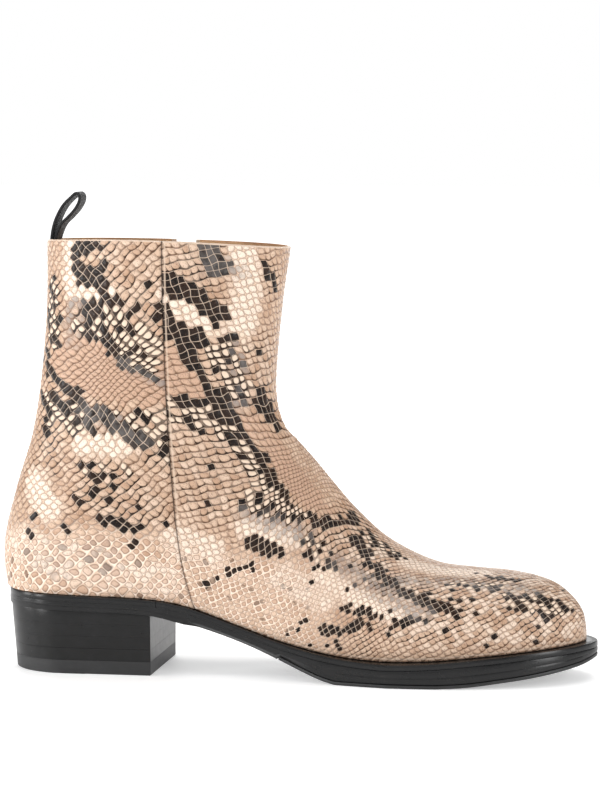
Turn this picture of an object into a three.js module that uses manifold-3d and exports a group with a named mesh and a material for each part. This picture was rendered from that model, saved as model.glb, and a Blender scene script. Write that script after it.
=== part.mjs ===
// Right-foot ankle boot with a stacked block heel, an inside zip and a pull loop at the back.
// Millimetres. +X towards the toe, +Y towards the inner side of the foot, +Z up.
// The design origin is the floor under the back of the heel; the group is centred at the end.
import * as THREE from 'three';
import Module from 'manifold-3d';

const wasm = await Module();
wasm.setup();

// ---- driving dimensions ----
const TOE_X = 302.3;          // foremost point of the upper
const SOLE_TIP_X = 308;       // foremost point of the sole
const HEEL_ROUND = 33;        // length of the rounded back of the heel seat
const BREAST_X = 81;          // front face of the heel block
const HEEL_RAKE = 3.5;        // how far the back of the heel leans in, top to floor
const HEEL_TOP_Z = 42;
const GAP = 0.3;              // clearance between neighbouring pieces
const LEATHER = 1.4;          // outer leather
const LINING = 1.1;
const MARGIN = 17;            // width of the leather turned in under the insole
const ABOVE = 10;             // how far forms run past an edge before it is trimmed
const HALF = 90;              // half width of the trimming prisms

// Side-view curves of the upper, [parameter, x, z]. Parameter 0 to 1 runs down the shaft
// to the heel corner, 1 to 2 runs along the foot to the toe.
const RIDGE = [[0, 148.5, 220], [0.2, 144.6, 193], [0.4, 141.4, 160], [0.6, 141.6, 140.5],
  [0.8, 145.6, 127.6], [1, 152.5, 120], [1.17, 161.8, 109.7], [1.34, 172, 97.2], [1.5, 184.2, 83.2],
  [1.64, 201, 68.4], [1.74, 224, 57.6], [1.81, 245, 55], [1.88, 266, 53.3], [1.94, 284, 48.8],
  [1.975, 294.5, 41.5], [1.992, 300.3, 33.5], [2, 302.3, 25]];
const BACK = [[0, 21, 223.3], [0.2, 20.4, 187], [0.4, 17, 150.5], [0.55, 12.2, 122],
  [0.7, 4.4, 96.5], [0.85, -2.2, 70], [0.93, -3, 55.5], [1, -1.2, 42.3]];
// Edge where the upper meets the sole, [x, z].
const FEATHER = [[0, 42.3], [40, 41], [80, 39.6], [100, 36.3], [125, 28], [150, 20], [175, 14.6],
  [200, 12.4], [225, 13], [250, 15.2], [275, 17.4], [302.3, 19.5]];
// Section shape along the same parameter: [parameter, outer side, inner side].
const WIDTH = [[0, 42, 41], [0.2, 40.4, 39.8], [0.4, 38.8, 38.6], [0.6, 38.2, 37.4],
  [0.8, 37.2, 36.2], [1, 36.6, 35.2], [1.17, 37, 34.8], [1.34, 38, 34.6], [1.45, 39.2, 36.4],
  [1.56, 42, 41.6], [1.66, 44.6, 46.2], [1.72, 44.8, 47.2]];
const BALL = 1.72;            // parameter where the toe starts to round off
const WIDEST = [[0, 0.5, 0.5], [0.6, 0.5, 0.5], [1, 0.55, 0.52], [1.2, 0.6, 0.56], [1.4, 0.66, 0.62],
  [1.6, 0.72, 0.7], [1.8, 0.7, 0.7], [2, 0.6, 0.6]];
const FOOT_END = [[1, 0.86, 0.86], [1.15, 0.84, 0.84], [1.34, 0.82, 0.72], [1.5, 0.88, 0.82],
  [1.62, 0.93, 0.92], [1.8, 0.95, 0.95], [2, 0.95, 0.95]];
const RIDGE_ROUND = [[0, 0.92], [0.4, 0.95], [0.8, 1], [1, 1], [1.3, 1.02], [1.6, 1.05], [2, 0.96]];
const BLUNT = [[0, 2], [0.6, 2.1], [0.85, 2.35], [1, 2.5], [1.2, 2.4], [1.5, 2.3], [2, 2.3]];
const CENTRE = [[0, 0], [0.8, 0], [1.2, 0.5], [1.5, 2], [1.75, 3.5], [2, 4]];
const TOP_ARCH = [2.6, 0.4];  // how far the top line rises at mid side: outer side, inner side

// Seams, [z, x].
const SIDE_SEAM = [[30, 105], [38.4, 102.9], [61.5, 97.8], [92.2, 93.7], [143.3, 90.8],
  [194.2, 89.5], [240, 89.6]];
const INNER_SEAM = [[30, 90], [38, 88], [66, 79.5], [72, 79]];

// Sole, half widths as [x, outer side, inner side] and its underside as [x, z].
const SOLE_HALF = [[0, 33, 33], [33, 33, 33], [80, 32.5, 31], [125, 33.5, 25.5], [165, 40, 36],
  [205, 47, 51.5]];
const TOE_START = 205;
const SOLE_CENTRE = 4;
const WAIST = [[0, 34.1], [40, 32.8], [80, 31.4], [96, 28], [117, 22], [137, 15], [158, 6.5],
  [170, 2], [178, 0]];
const TOE_SPRING = [[230, 0], [245, 0.8], [260, 2.5], [280, 5], [300, 8.6], [308, 11.2]];
const WELT = 3.1;
const RUBBER = 1.9;
const RUBBER_X = 148;         // back edge of the rubber half sole
const WELT_X = 84;            // joint between the welt and the heel rand

// Heel stack: top of each layer from the floor up; the first is the rubber top lift.
const LIFT_TOPS = [7.2, 13.6, 19.9, 26.2];
const INSERT = { x0: 24, x1: 46, height: 2.9 };
const NAILS = [[20, -14], [20, 14], [62, -18], [62, 18]];
const NAIL_RADIUS = 1.2;

// Zip: a straight line on the inner side, from its foot to the top line.
const ZIP_FOOT = new THREE.Vector3(79, 35.3, 75);
const ZIP_HEAD = new THREE.Vector3(86, 41, 223);
const ZIP_SLOT = 5.5;         // half width of the opening in the leather
const ZIP_LINING_SLOT = 8;
const ZIP_SLOT_FOOT = 70;
const TOOTH_PITCH = 3.5;
const TEETH_LENGTH = 136;
const SLIDER_AT = 134;        // distance of the slider's centre above the zip's foot
const SLIDER_LENGTH = 10;

// ---- small maths ----
const clamp = (v, lo, hi) => Math.min(Math.max(v, lo), hi);

// Cubic curve through knots [t, ...values], with finite-difference tangents.
function spline(knots, t) {
  const last = knots.length - 1;
  const at = clamp(t, knots[0][0], knots[last][0]);
  let i = 0;
  while (i < last - 1 && at >= knots[i + 1][0]) i += 1;
  const step = knots[i + 1][0] - knots[i][0];
  const u = (at - knots[i][0]) / step;
  const slope = (k, c) => {
    const a = knots[Math.max(k - 1, 0)];
    const b = knots[Math.min(k + 1, last)];
    return (b[c] - a[c]) / (b[0] - a[0]);
  };
  return knots[i].slice(1).map((value, k) => (2 * u ** 3 - 3 * u ** 2 + 1) * value
    + (u ** 3 - 2 * u ** 2 + u) * step * slope(i, k + 1)
    + (3 * u ** 2 - 2 * u ** 3) * knots[i + 1][k + 1]
    + (u ** 3 - u ** 2) * step * slope(i + 1, k + 1));
}

const toeRound = (f) => Math.max(1 - clamp(f, 0, 1) ** 2.2, 0) ** (1 / 1.8);
const heelRound = (f) => Math.sqrt(Math.max(1 - clamp(f, 0, 1) ** 2.3, 0));
const feather = (x) => spline(FEATHER, x)[0];
const sideSeamX = (z) => spline(SIDE_SEAM, z)[0];
const innerSeamX = (z) => spline(INNER_SEAM, z)[0];
const zipX = (z) => ZIP_FOOT.x + (ZIP_HEAD.x - ZIP_FOOT.x) * (z - ZIP_FOOT.z) / (ZIP_HEAD.z - ZIP_FOOT.z);

function topLine(x, side) {
  const t = clamp((x - BACK[0][1]) / (RIDGE[0][1] - BACK[0][1]), 0, 1);
  return BACK[0][2] + (RIDGE[0][2] - BACK[0][2]) * t + TOP_ARCH[side] * 4 * t * (1 - t);
}

// Starts with no speed and then runs at full speed, so that chords turn smoothly at the heel corner.
function easeIn(u, width) {
  const v = clamp(u / width, 0, 1);
  return u < width ? width * (2 * v * v - v ** 3) : u;
}

// ---- outer form of the upper ----
function halfWidth(s, side) {
  const start = (BALL - 1) * TOE_X;
  const f = ((s - 1) * TOE_X - start) / (TOE_X - start);
  return spline(WIDTH, Math.min(s, BALL))[side] * toeRound(f);
}

// Half width at the sole edge, as a share of the section's half width.
function endRatio(s, side) {
  if (s <= 1) return 0;
  return heelRound((HEEL_ROUND - (s - 1) * TOE_X) / HEEL_ROUND) * spline(FOOT_END, s)[side];
}

// Point of the form: s along the boot, a from the ridge (0) to the back or sole edge (1).
function formPoint(s, a, side) {
  const ridge = spline(RIDGE, s);
  const along = easeIn(Math.max(s, 1) - 1, 0.3);
  const x = along * TOE_X - 1.2 * (1 - clamp(along * TOE_X / 40, 0, 1));
  const edge = s <= 1 ? spline(BACK, 1 - easeIn(1 - s, 0.35)) : [x, feather(x)];
  const at = s <= 1 ? s : 1 + along;
  const width = halfWidth(at, side);
  const ratio = endRatio(at, side);
  const power = spline(BLUNT, s)[0];
  const widest = spline(WIDEST, s)[side];
  const sweep = Math.sin(clamp(2 * a - 1, 0, 1) * Math.PI / 2);
  const turn = clamp(2 * a, 0, 1) * Math.PI / 2;
  const h = a < 0.5 ? widest * (1 - Math.cos(turn)) : widest + (1 - widest) * sweep;
  const y = width * (a < 0.5 ? Math.sin(turn) ** spline(RIDGE_ROUND, s)[0]
    : Math.max(1 - (1 - ratio ** power) * sweep ** power, 0) ** (1 / power));
  const arch = TOP_ARCH[side] * clamp(1 - s / 0.5, 0, 1) ** 2 * 4 * h * (1 - h);
  return new THREE.Vector3(ridge[0] + (edge[0] - ridge[0]) * h, spline(CENTRE, s)[0] + (side ? y : -y),
    ridge[1] + (edge[1] - ridge[1]) * h + arch);
}

// ---- solids ----
// A closed solid from triangles given as point triples; points closer than 1e-4 mm are one.
function solid(triangles) {
  const index = new Map();
  const positions = [];
  const faces = [];
  for (const triangle of triangles) {
    const ids = triangle.map((p) => {
      const key = [p.x, p.y, p.z].map((v) => Math.round(v * 1e4)).join();
      if (!index.has(key)) {
        index.set(key, index.size);
        positions.push(p.x, p.y, p.z);
      }
      return index.get(key);
    });
    if (new Set(ids).size === 3) faces.push(...ids);
  }
  const mesh = new wasm.Mesh({
    numProp: 3,
    vertProperties: new Float32Array(positions),
    triVerts: new Uint32Array(faces),
  });
  return new wasm.Manifold(mesh);
}

function fromGeometry(geometry) {
  const flat = geometry.index ? geometry.toNonIndexed() : geometry;
  const p = flat.attributes.position;
  const point = (i) => new THREE.Vector3(p.getX(i), p.getY(i), p.getZ(i));
  const triangles = [];
  for (let i = 0; i < p.count; i += 3) triangles.push([point(i), point(i + 1), point(i + 2)]);
  return solid(triangles);
}

const quad = (a, b, c, d) => [[a, b, c], [a, c, d]];

// A solid through matching rings of points, with flat ends.
function loft(rings) {
  const triangles = [];
  const count = rings[0].length;
  for (let i = 0; i + 1 < rings.length; i += 1) {
    for (let j = 0; j < count; j += 1) {
      const k = (j + 1) % count;
      triangles.push(...quad(rings[i][j], rings[i][k], rings[i + 1][k], rings[i + 1][j]));
    }
  }
  const first = rings[0];
  const last = rings[rings.length - 1];
  for (let j = 1; j + 1 < count; j += 1) {
    triangles.push([first[0], first[j + 1], first[j]]);
    triangles.push([last[0], last[j], last[j + 1]]);
  }
  return solid(triangles);
}

// A prism with an outline of [x, z] points, from y0 to y1.
function prism(outline, y0 = -HALF, y1 = HALF) {
  const shape = new THREE.Shape(outline.map(([x, z]) => new THREE.Vector2(x, z)));
  const geometry = new THREE.ExtrudeGeometry(shape, { depth: y1 - y0, bevelEnabled: false });
  geometry.rotateX(Math.PI / 2);
  geometry.translate(0, y1, 0);
  return fromGeometry(geometry);
}

function range(from, to, count) {
  return Array.from({ length: count + 1 }, (_, i) => from + (to - from) * i / count);
}

// ---- the upper's layers ----
const SHAFT_ROWS = 9;
const AROUND = 8;
const FOOT_STEPS = [0.05, 0.09, 0.144, 0.24, 0.35, 0.47, 0.59, 0.7, 0.8, 0.88, 0.94, 0.98, 1];
const ROWS = [...range(0, 1, SHAFT_ROWS), ...FOOT_STEPS.map((u) => 1 + u)];

// Grid of form points, one row per parameter, from the outer side's edge over the ridge to the inner side's.
function formGrid() {
  return ROWS.map((s) => [
    ...range(1, 0, AROUND).map((a) => formPoint(s, a, 0)),
    ...range(0, 1, AROUND).slice(1).map((a) => formPoint(s, a, 1)),
  ]);
}

// Outward unit normal at each grid point.
function gridNormals(grid) {
  const last = grid.length - 1;
  const end = 2 * AROUND;
  return grid.map((row, i) => row.map((point, j) => {
    if (i === last) return new THREE.Vector3(1, 0, 0);
    const closed = i < SHAFT_ROWS;
    const before = j > 0 ? row[j - 1] : row[closed ? end - 1 : 0];
    const after = j < end ? row[j + 1] : row[closed ? 1 : end];
    const across = after.clone().sub(before);
    const down = grid[i + 1][j].clone().sub(grid[Math.max(i - 1, 0)][j]);
    return down.cross(across).normalize();
  }));
}

const GRID = formGrid();
const NORMALS = gridNormals(GRID);

// Closed form set in from the outer surface by depth(point, inner side), run past its edges by ABOVE.
function form(depth) {
  const rows = GRID.map((row, i) => row.map((point, j) => {
    const inset = depth(point, j > AROUND);
    return point.clone().addScaledVector(NORMALS[i][j], -inset);
  }));
  const up = new THREE.Vector3(0, 0, ABOVE);
  rows.unshift(rows[0].map((point) => point.clone().add(up)));
  const corner = SHAFT_ROWS + 1;
  const end = 2 * AROUND;
  const triangles = [];
  for (let i = 0; i + 1 < rows.length; i += 1) {
    if (i < corner) rows[i][end].copy(rows[i][0]);
    for (let j = 0; j < end; j += 1) {
      triangles.push(...quad(rows[i][j], rows[i + 1][j], rows[i + 1][j + 1], rows[i][j + 1]));
    }
  }
  rows[corner][end].copy(rows[corner][0]);
  for (let j = 0; j < AROUND; j += 1) {
    triangles.push(...quad(rows[0][j], rows[0][j + 1], rows[0][end - j - 1], rows[0][end - j]));
  }
  for (let i = corner; i + 1 < rows.length; i += 1) {
    const [a, b, c, d] = [rows[i][0], rows[i + 1][0], rows[i + 1][end], rows[i][end]];
    const [e, f, g, h] = [a, b, c, d].map((point) => point.clone().sub(up));
    triangles.push(...quad(a, e, f, b), ...quad(c, g, h, d), ...quad(e, h, g, f));
  }
  return solid(triangles);
}

// Everything between the sole edge raised by low and the top line (or the sole edge raised by high).
function envelope(low, high = null) {
  const xs = range(-20, 330, 28);
  const floor = xs.map((x) => [x, feather(x) + low]);
  const top = (x, side) => (high === null ? topLine(x, side) : feather(x) + high);
  const [outer, inner] = [0, 1].map((side) => [...floor, ...xs.map((x) => [x, top(x, side)]).reverse()]);
  return prism(outer, -HALF, 0).add(prism(inner, 0, HALF));
}

function aboveSole(low) {
  const floor = range(-20, 330, 28).map((x) => [x, feather(x) + low]);
  return prism([...floor, [330, 300], [-20, 300]]);
}

// How deep the lining's outer face lies: deeper where a stiffener, tape, strap or zip is under it.
function liningDepth(point, inner) {
  let depth = LEATHER + GAP;
  if (point.x > 232) depth = 3.2;
  if (!inner && Math.abs(point.x - sideSeamX(point.z)) < 24) depth = 3;
  if (point.z < 120 - 0.45 * point.x && point.x < 104) depth = 3.6;
  if (inner && Math.abs(point.x - zipX(point.z)) < 32 && point.z > 46) depth = 4.6;
  if (point.x < 48 && point.z > 172) depth = 4.8;
  return depth;
}

// A layer of the upper from one depth to another, with its bottom turned in under the foot.
function layer(outer, thickness, low) {
  const inside = form((p, inner) => outer(p, inner) + thickness).intersect(aboveSole(low + thickness));
  return form(outer).intersect(envelope(low)).subtract(inside);
}

// A layer of the upper's walls only, open at the bottom.
function wall(depth, thickness) {
  return form(() => depth).intersect(envelope(LEATHER + GAP)).subtract(form(() => depth + thickness));
}

// Part of the boot ahead of the seams (direction 1) or behind them (-1), with the zip slot left open.
function panelRegion(direction, slot) {
  const far = direction > 0 ? 340 : -40;
  const seam = range(30, 240, 30).map((z) => [sideSeamX(z) + direction * GAP / 2, z]);
  const zip = [
    ...range(28, ZIP_SLOT_FOOT - 4, 6).map((z) => [innerSeamX(z) + direction * GAP / 2, z]),
    [innerSeamX(ZIP_SLOT_FOOT) + direction * slot * 0.7, ZIP_SLOT_FOOT - slot * 0.3],
    ...range(ZIP_SLOT_FOOT + slot * 0.5, 240, 1).map((z) => [zipX(z) + direction * slot, z]),
  ];
  const outerSide = prism([...seam, [far, 240], [far, 0], [seam[0][0], 0]], -HALF, 0);
  const innerSide = prism([...zip, [far, 240], [far, 0], [zip[0][0], 0]], 0, HALF);
  return outerSide.add(innerSide);
}

// ---- the sole ----
function underside(x) {
  if (x <= 178) return spline(WAIST, x)[0];
  return x < 230 ? 0 : spline(TOE_SPRING, x)[0];
}

// The sole's edge at x, drawn in by inset: y on the outer side (0) or inner side (1).
function soleEdge(x, side, inset) {
  const half = spline(SOLE_HALF, Math.min(x, TOE_START))[side] - inset;
  const length = HEEL_ROUND - inset;
  const y = (side ? 1 : -1) * half * heelRound((HEEL_ROUND - x) / length);
  if (x <= TOE_START) return y;
  const tip = SOLE_TIP_X - inset;
  return SOLE_CENTRE + (y - SOLE_CENTRE) * toeRound((x - TOE_START) / (tip - TOE_START));
}

function stations(from, to) {
  const heel = range(0, 1, 7).map((u) => from + (HEEL_ROUND - from) * (1 - Math.cos(u * Math.PI / 2)));
  const middle = [...range(HEEL_ROUND, 178, 14), ...range(178, TOE_START, 2), ...range(TOE_START, 230, 2)];
  const toe = range(0, 1, 9).map((u) => 230 + (to - 230) * Math.sin(u * Math.PI / 2));
  return [...new Set([...heel, ...middle, ...toe].map((x) => Number(x.toFixed(4))))];
}

// A slab that follows the sole's outline, between two heights that depend on x.
function slab(inset, top, bottom) {
  return loft(stations(inset, SOLE_TIP_X - inset).map((x) => {
    const outer = soleEdge(x, 0, inset);
    const inner = soleEdge(x, 1, inset);
    return [[outer, top(x)], [outer, bottom(x)], [inner, bottom(x)], [inner, top(x)]]
      .map(([y, z]) => new THREE.Vector3(x, y, z));
  }));
}

// One layer of the heel block between a floor height and a top that may slope with x.
function heelLayer(bottom, top) {
  const backAt = (z) => HEEL_RAKE * (1 - z / HEEL_TOP_Z);
  const halfAt = (z) => HEEL_ROUND - 1.5 * (1 - z / HEEL_TOP_Z);
  const steps = [...range(0, 1, 7).map((u) => 0.42 * (1 - Math.cos(u * Math.PI / 2))), 0.7, 1];
  return loft(steps.map((u) => {
    const ring = (z) => {
      const x = backAt(z) + (BREAST_X - backAt(z)) * u;
      const y = halfAt(z) * heelRound(1 - u / 0.42);
      return [x, y];
    };
    const [x0, y0] = ring(bottom);
    const [x1, y1] = ring(top(0));
    return [[x1, -y1, top(x1)], [x0, -y0, bottom], [x0, y0, bottom], [x1, y1, top(x1)]]
      .map((p) => new THREE.Vector3(...p));
  }));
}

function pin(x, y, z0, z1, radius) {
  const geometry = new THREE.CylinderGeometry(radius, radius, z1 - z0, 8);
  geometry.rotateX(Math.PI / 2);
  geometry.translate(x, y, (z0 + z1) / 2);
  return fromGeometry(geometry);
}

// ---- the zip ----
const ZIP_LENGTH = ZIP_HEAD.distanceTo(ZIP_FOOT);
const zipAlong = ZIP_HEAD.clone().sub(ZIP_FOOT).normalize();
const zipAcross = new THREE.Vector3(1, 0, 0).addScaledVector(zipAlong, -zipAlong.x).normalize();
const zipOut = zipAlong.clone().cross(zipAcross);
const zipMatrix = new THREE.Matrix4().makeBasis(zipAcross, zipOut, zipAlong).setPosition(ZIP_FOOT);

// A box in zip coordinates: across, out of the boot, and along from the zip's foot.
function zipBox(across, out, along) {
  const [[x0, x1], [y0, y1], [z0, z1]] = [across, out, along];
  const geometry = new THREE.BoxGeometry(x1 - x0, y1 - y0, z1 - z0);
  geometry.translate((x0 + x1) / 2, (y0 + y1) / 2, (z0 + z1) / 2);
  geometry.applyMatrix4(zipMatrix);
  return fromGeometry(geometry);
}

// One row of teeth: a strip whose inner edge steps in and out once per tooth.
function teethRow(side) {
  const outline = [];
  for (let z = 0; z < TEETH_LENGTH - 0.1; z += TOOTH_PITCH) {
    outline.push([0.6, z], [1.5, z + TOOTH_PITCH / 2]);
  }
  const top = outline[outline.length - 1][1];
  outline.push([3, top], [3, 0]);
  const shape = new THREE.Shape(outline.map(([x, z]) => new THREE.Vector2(x * side, z)));
  const geometry = new THREE.ExtrudeGeometry(shape, { depth: 2, bevelEnabled: false });
  geometry.rotateX(Math.PI / 2);
  geometry.translate(0, -1.5, 0);
  geometry.applyMatrix4(zipMatrix);
  return fromGeometry(geometry);
}

const PIVOT_OUT = 2.6;
const PIVOT_AT = SLIDER_AT - 1.8;

// A round bar or ring along X about the puller's pivot.
function pivotRing(outer, inner, halfLength) {
  const circle = (radius, turn) => range(0, 11, 11).map((k) => new THREE.Vector2(
    radius * Math.cos(k * turn * Math.PI / 6), radius * Math.sin(k * turn * Math.PI / 6)));
  const shape = new THREE.Shape(circle(outer, 1));
  if (inner > 0) shape.holes.push(new THREE.Path(circle(inner, -1)));
  const geometry = new THREE.ExtrudeGeometry(shape, { depth: 2 * halfLength, bevelEnabled: false });
  geometry.translate(0, 0, -halfLength);
  geometry.rotateY(Math.PI / 2);
  geometry.translate(...PULLER_PIVOT.toArray());
  return fromGeometry(geometry);
}

const PULLER_PIVOT = new THREE.Vector3(0, PIVOT_OUT, PIVOT_AT).applyMatrix4(zipMatrix);

// The slider: two plates joined by a post between the tapes, with lugs that hold the puller's pin.
function zipSlider() {
  const [low, high] = [SLIDER_AT - SLIDER_LENGTH / 2, SLIDER_AT + SLIDER_LENGTH / 2];
  const plate = zipBox([-4.4, 4.4], [-1.1, 0.6], [low, high]);
  const post = zipBox([-0.3, 0.3], [-4.2, -0.8], [low + 3, high - 2]);
  const backPlate = zipBox([-3, 3], [-5.2, -4.0], [low, high]);
  const lugs = [-1, 1].map((side) => zipBox([side * 2.7 - 0.7, side * 2.7 + 0.7], [0.3, PIVOT_OUT + 1],
    [PIVOT_AT - 1.2, PIVOT_AT + 1.2]));
  return [post, backPlate, ...lugs, pivotRing(0.5, 0, 2.9)].reduce((body, piece) => body.add(piece), plate);
}

// The puller hangs straight down from its pin: a barrel, a neck and a tab with a hole.
function zipPuller() {
  const outline = [[-1.5, -1], [1.5, -1], [1.5, -6], [3, -8], [3, -25], [1.8, -27], [-1.8, -27],
    [-3, -25], [-3, -8], [-1.5, -6]];
  const shape = new THREE.Shape(outline.map(([x, z]) => new THREE.Vector2(x, z)));
  const hole = range(0, 7, 7).map((k) => k * Math.PI / 4)
    .map((turn) => new THREE.Vector2(1.5 * Math.cos(turn), 1.5 * Math.sin(turn) - 22.5));
  shape.holes.push(new THREE.Path(hole));
  const geometry = new THREE.ExtrudeGeometry(shape, { depth: 1.2, bevelEnabled: false });
  geometry.rotateX(Math.PI / 2);
  geometry.translate(0, 0.6, 0);
  geometry.translate(...PULLER_PIVOT.toArray());
  return fromGeometry(geometry).add(pivotRing(1.3, 0.8, 1.6));
}

// ---- the pull loop ----
const LOOP_WIDTH = 13;
const LOOP_OUTER = [[24.9, 224.5], [23.2, 225.3], [24.3, 230.1], [26.4, 236.3], [29.6, 241.6], [33.9, 245.9],
  [37.4, 248.7], [39.4, 247.6], [39.6, 243.9], [36.3, 237.6], [29.6, 231.4], [27.1, 228.2], [26.7, 225.3]];
const LOOP_HOLE = [[29.2, 233.2], [35.1, 238.9], [37.9, 244.4], [37.2, 246.2], [34.9, 244.4], [31, 240.4],
  [28, 235.4], [27, 231.4]];

function pullLoop() {
  const points = (list) => list.map(([x, z]) => new THREE.Vector2(x, z));
  const shape = new THREE.Shape(points(LOOP_OUTER));
  shape.holes.push(new THREE.Path(points(LOOP_HOLE)));
  const geometry = new THREE.ExtrudeGeometry(shape, { depth: LOOP_WIDTH, bevelEnabled: false });
  geometry.rotateX(Math.PI / 2);
  geometry.translate(0, LOOP_WIDTH / 2, 0);
  return fromGeometry(geometry);
}

// ---- materials ----
const finishes = {
  snake: { color: 0xd9c3ae, roughness: 0.3, metalness: 0 },
  lining: { color: 0xb98a5c, roughness: 0.65, metalness: 0 },
  board: { color: 0xa88b66, roughness: 0.9, metalness: 0 },
  cork: { color: 0xb08a58, roughness: 0.95, metalness: 0 },
  black: { color: 0x26262a, roughness: 0.35, metalness: 0 },
  rubber: { color: 0x1c1c1e, roughness: 0.6, metalness: 0 },
  strap: { color: 0x2a2a2d, roughness: 0.55, metalness: 0 },
  steel: { color: 0x8d8f92, roughness: 0.35, metalness: 0.9 },
};

const boot = new THREE.Group();

function addPiece(name, body, finish) {
  const mesh = body.getMesh();
  const geometry = new THREE.BufferGeometry();
  geometry.setAttribute('position', new THREE.Float32BufferAttribute(mesh.vertProperties, 3));
  geometry.setIndex([...mesh.triVerts]);
  geometry.computeVertexNormals();
  const piece = new THREE.Mesh(geometry, new THREE.MeshStandardMaterial(finishes[finish]));
  piece.name = name;
  boot.add(piece);
}

// ---- assembly ----
function addUpper() {
  const turnedIn = slab(MARGIN, (x) => feather(x) + 3, (x) => feather(x) - 5);
  const leather = layer(() => 0, LEATHER, 0).subtract(turnedIn);
  const lining = layer(liningDepth, LINING, LEATHER + GAP).subtract(turnedIn);
  addPiece('front_panel', leather.intersect(panelRegion(1, ZIP_SLOT)), 'snake');
  addPiece('back_panel', leather.intersect(panelRegion(-1, ZIP_SLOT)), 'snake');
  addPiece('front_lining', lining.intersect(panelRegion(1, ZIP_LINING_SLOT)), 'lining');
  addPiece('back_lining', lining.intersect(panelRegion(-1, ZIP_LINING_SLOT)), 'lining');
}

// Pieces held between the leather and the lining.
function addStiffeners() {
  const between = (thickness) => wall(LEATHER + GAP, thickness);
  const counter = prism([[-20, 30], [76, 30], [74, 50], [50, 66], [25, 82], [-20, 92]]);
  addPiece('heel_counter', between(1.6).intersect(counter), 'board');
  const puff = prism([[256, 0], [330, 0], [330, 90], [262, 90]]);
  addPiece('toe_puff', between(1.2).intersect(puff), 'board');
  const seam = (offset) => range(48, 214, 12).map((z) => [sideSeamX(z) + offset, z]);
  const tape = prism([...seam(5), ...seam(-5).reverse()], -HALF, 0);
  addPiece('side_seam_tape', between(0.9).intersect(tape), 'lining');
  const tails = prism([[0, 197], [40, 197], [40, 222.6], [0, 222.6]], -LOOP_WIDTH / 2, LOOP_WIDTH / 2);
  addPiece('pull_loop_tails', between(2.8).intersect(tails), 'strap');
}

function addFootbed() {
  const inside = (extra) => form((p, inner) => liningDepth(p, inner) + LINING + GAP + extra);
  addPiece('insole_board', inside(0).intersect(envelope(3.1, 5.3)), 'board');
  addPiece('sock_liner', inside(0).intersect(envelope(5.6, 6.8)), 'lining');
  const pad = prism([[-20, 0], [88, 0], [88, 90], [-20, 90]]);
  addPiece('heel_pad', inside(3).intersect(envelope(7.1, 9.9)).intersect(pad), 'lining');
  addPiece('cork_filler', slab(MARGIN + GAP, (x) => feather(x) + 0.8, (x) => feather(x) - WELT), 'cork');
  const shank = range(22, 152, 10).map((x) => [[-7, 2.7], [-7, 1.2], [7, 1.2], [7, 2.7]]
    .map(([y, lift]) => new THREE.Vector3(x, y, feather(x) + lift)));
  addPiece('shank', loft(shank), 'steel');
}

function addSole() {
  const ring = slab(0, (x) => feather(x) - GAP, (x) => feather(x) - GAP - WELT)
    .subtract(slab(MARGIN, (x) => feather(x) + 5, (x) => feather(x) - 9));
  const between = (x0, x1) => prism([[x0, 0], [x1, 0], [x1, 60], [x0, 60]]);
  addPiece('welt', ring.intersect(between(WELT_X + GAP / 2, 330)), 'black');
  addPiece('heel_rand', ring.intersect(between(-20, WELT_X - GAP / 2)), 'black');
  const outsole = slab(0, (x) => feather(x) - 2 * GAP - WELT, underside);
  const recess = slab(-2, (x) => underside(x) + RUBBER + GAP, (x) => underside(x) - 4)
    .intersect(prism([[RUBBER_X - GAP, -20], [330, -20], [330, 60], [RUBBER_X - GAP, 60]]));
  const holes = NAILS.map(([x, y]) => pin(x, y, 20, 37.3, NAIL_RADIUS + GAP));
  addPiece('outsole', holes.reduce((body, hole) => body.subtract(hole), outsole.subtract(recess)), 'black');
  const halfSole = slab(0, (x) => underside(x) + RUBBER, underside)
    .intersect(prism([[RUBBER_X, -20], [330, -20], [330, 60], [RUBBER_X, 60]]));
  addPiece('rubber_half_sole', halfSole, 'rubber');
}

function addHeel() {
  const seat = (x) => underside(Math.min(x, BREAST_X)) - GAP;
  const nails = NAILS.map(([x, y]) => pin(x, y, 9, 37, NAIL_RADIUS));
  const holes = NAILS.map(([x, y]) => pin(x, y, 8.7, 37.3, NAIL_RADIUS + GAP));
  const notch = prism([[INSERT.x0 - GAP, -1], [INSERT.x1 + GAP, -1], [INSERT.x1 + GAP, INSERT.height + GAP],
    [INSERT.x0 - GAP, INSERT.height + GAP]]);
  addPiece('top_lift', heelLayer(0, () => LIFT_TOPS[0]).subtract(notch), 'rubber');
  const insert = prism([[INSERT.x0, 0], [INSERT.x1, 0], [INSERT.x1, INSERT.height],
    [INSERT.x0, INSERT.height]]);
  addPiece('top_lift_insert', heelLayer(0, () => LIFT_TOPS[0]).intersect(insert), 'rubber');
  LIFT_TOPS.forEach((z, i) => {
    const top = i + 1 < LIFT_TOPS.length ? () => LIFT_TOPS[i + 1] : seat;
    const lift = holes.reduce((body, hole) => body.subtract(hole), heelLayer(z + GAP, top));
    addPiece(`heel_lift_${LIFT_TOPS.length - i}`, lift, 'black');
  });
  nails.forEach((nail, i) => addPiece(`heel_nail_${i + 1}`, nail, 'steel'));
}

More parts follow.
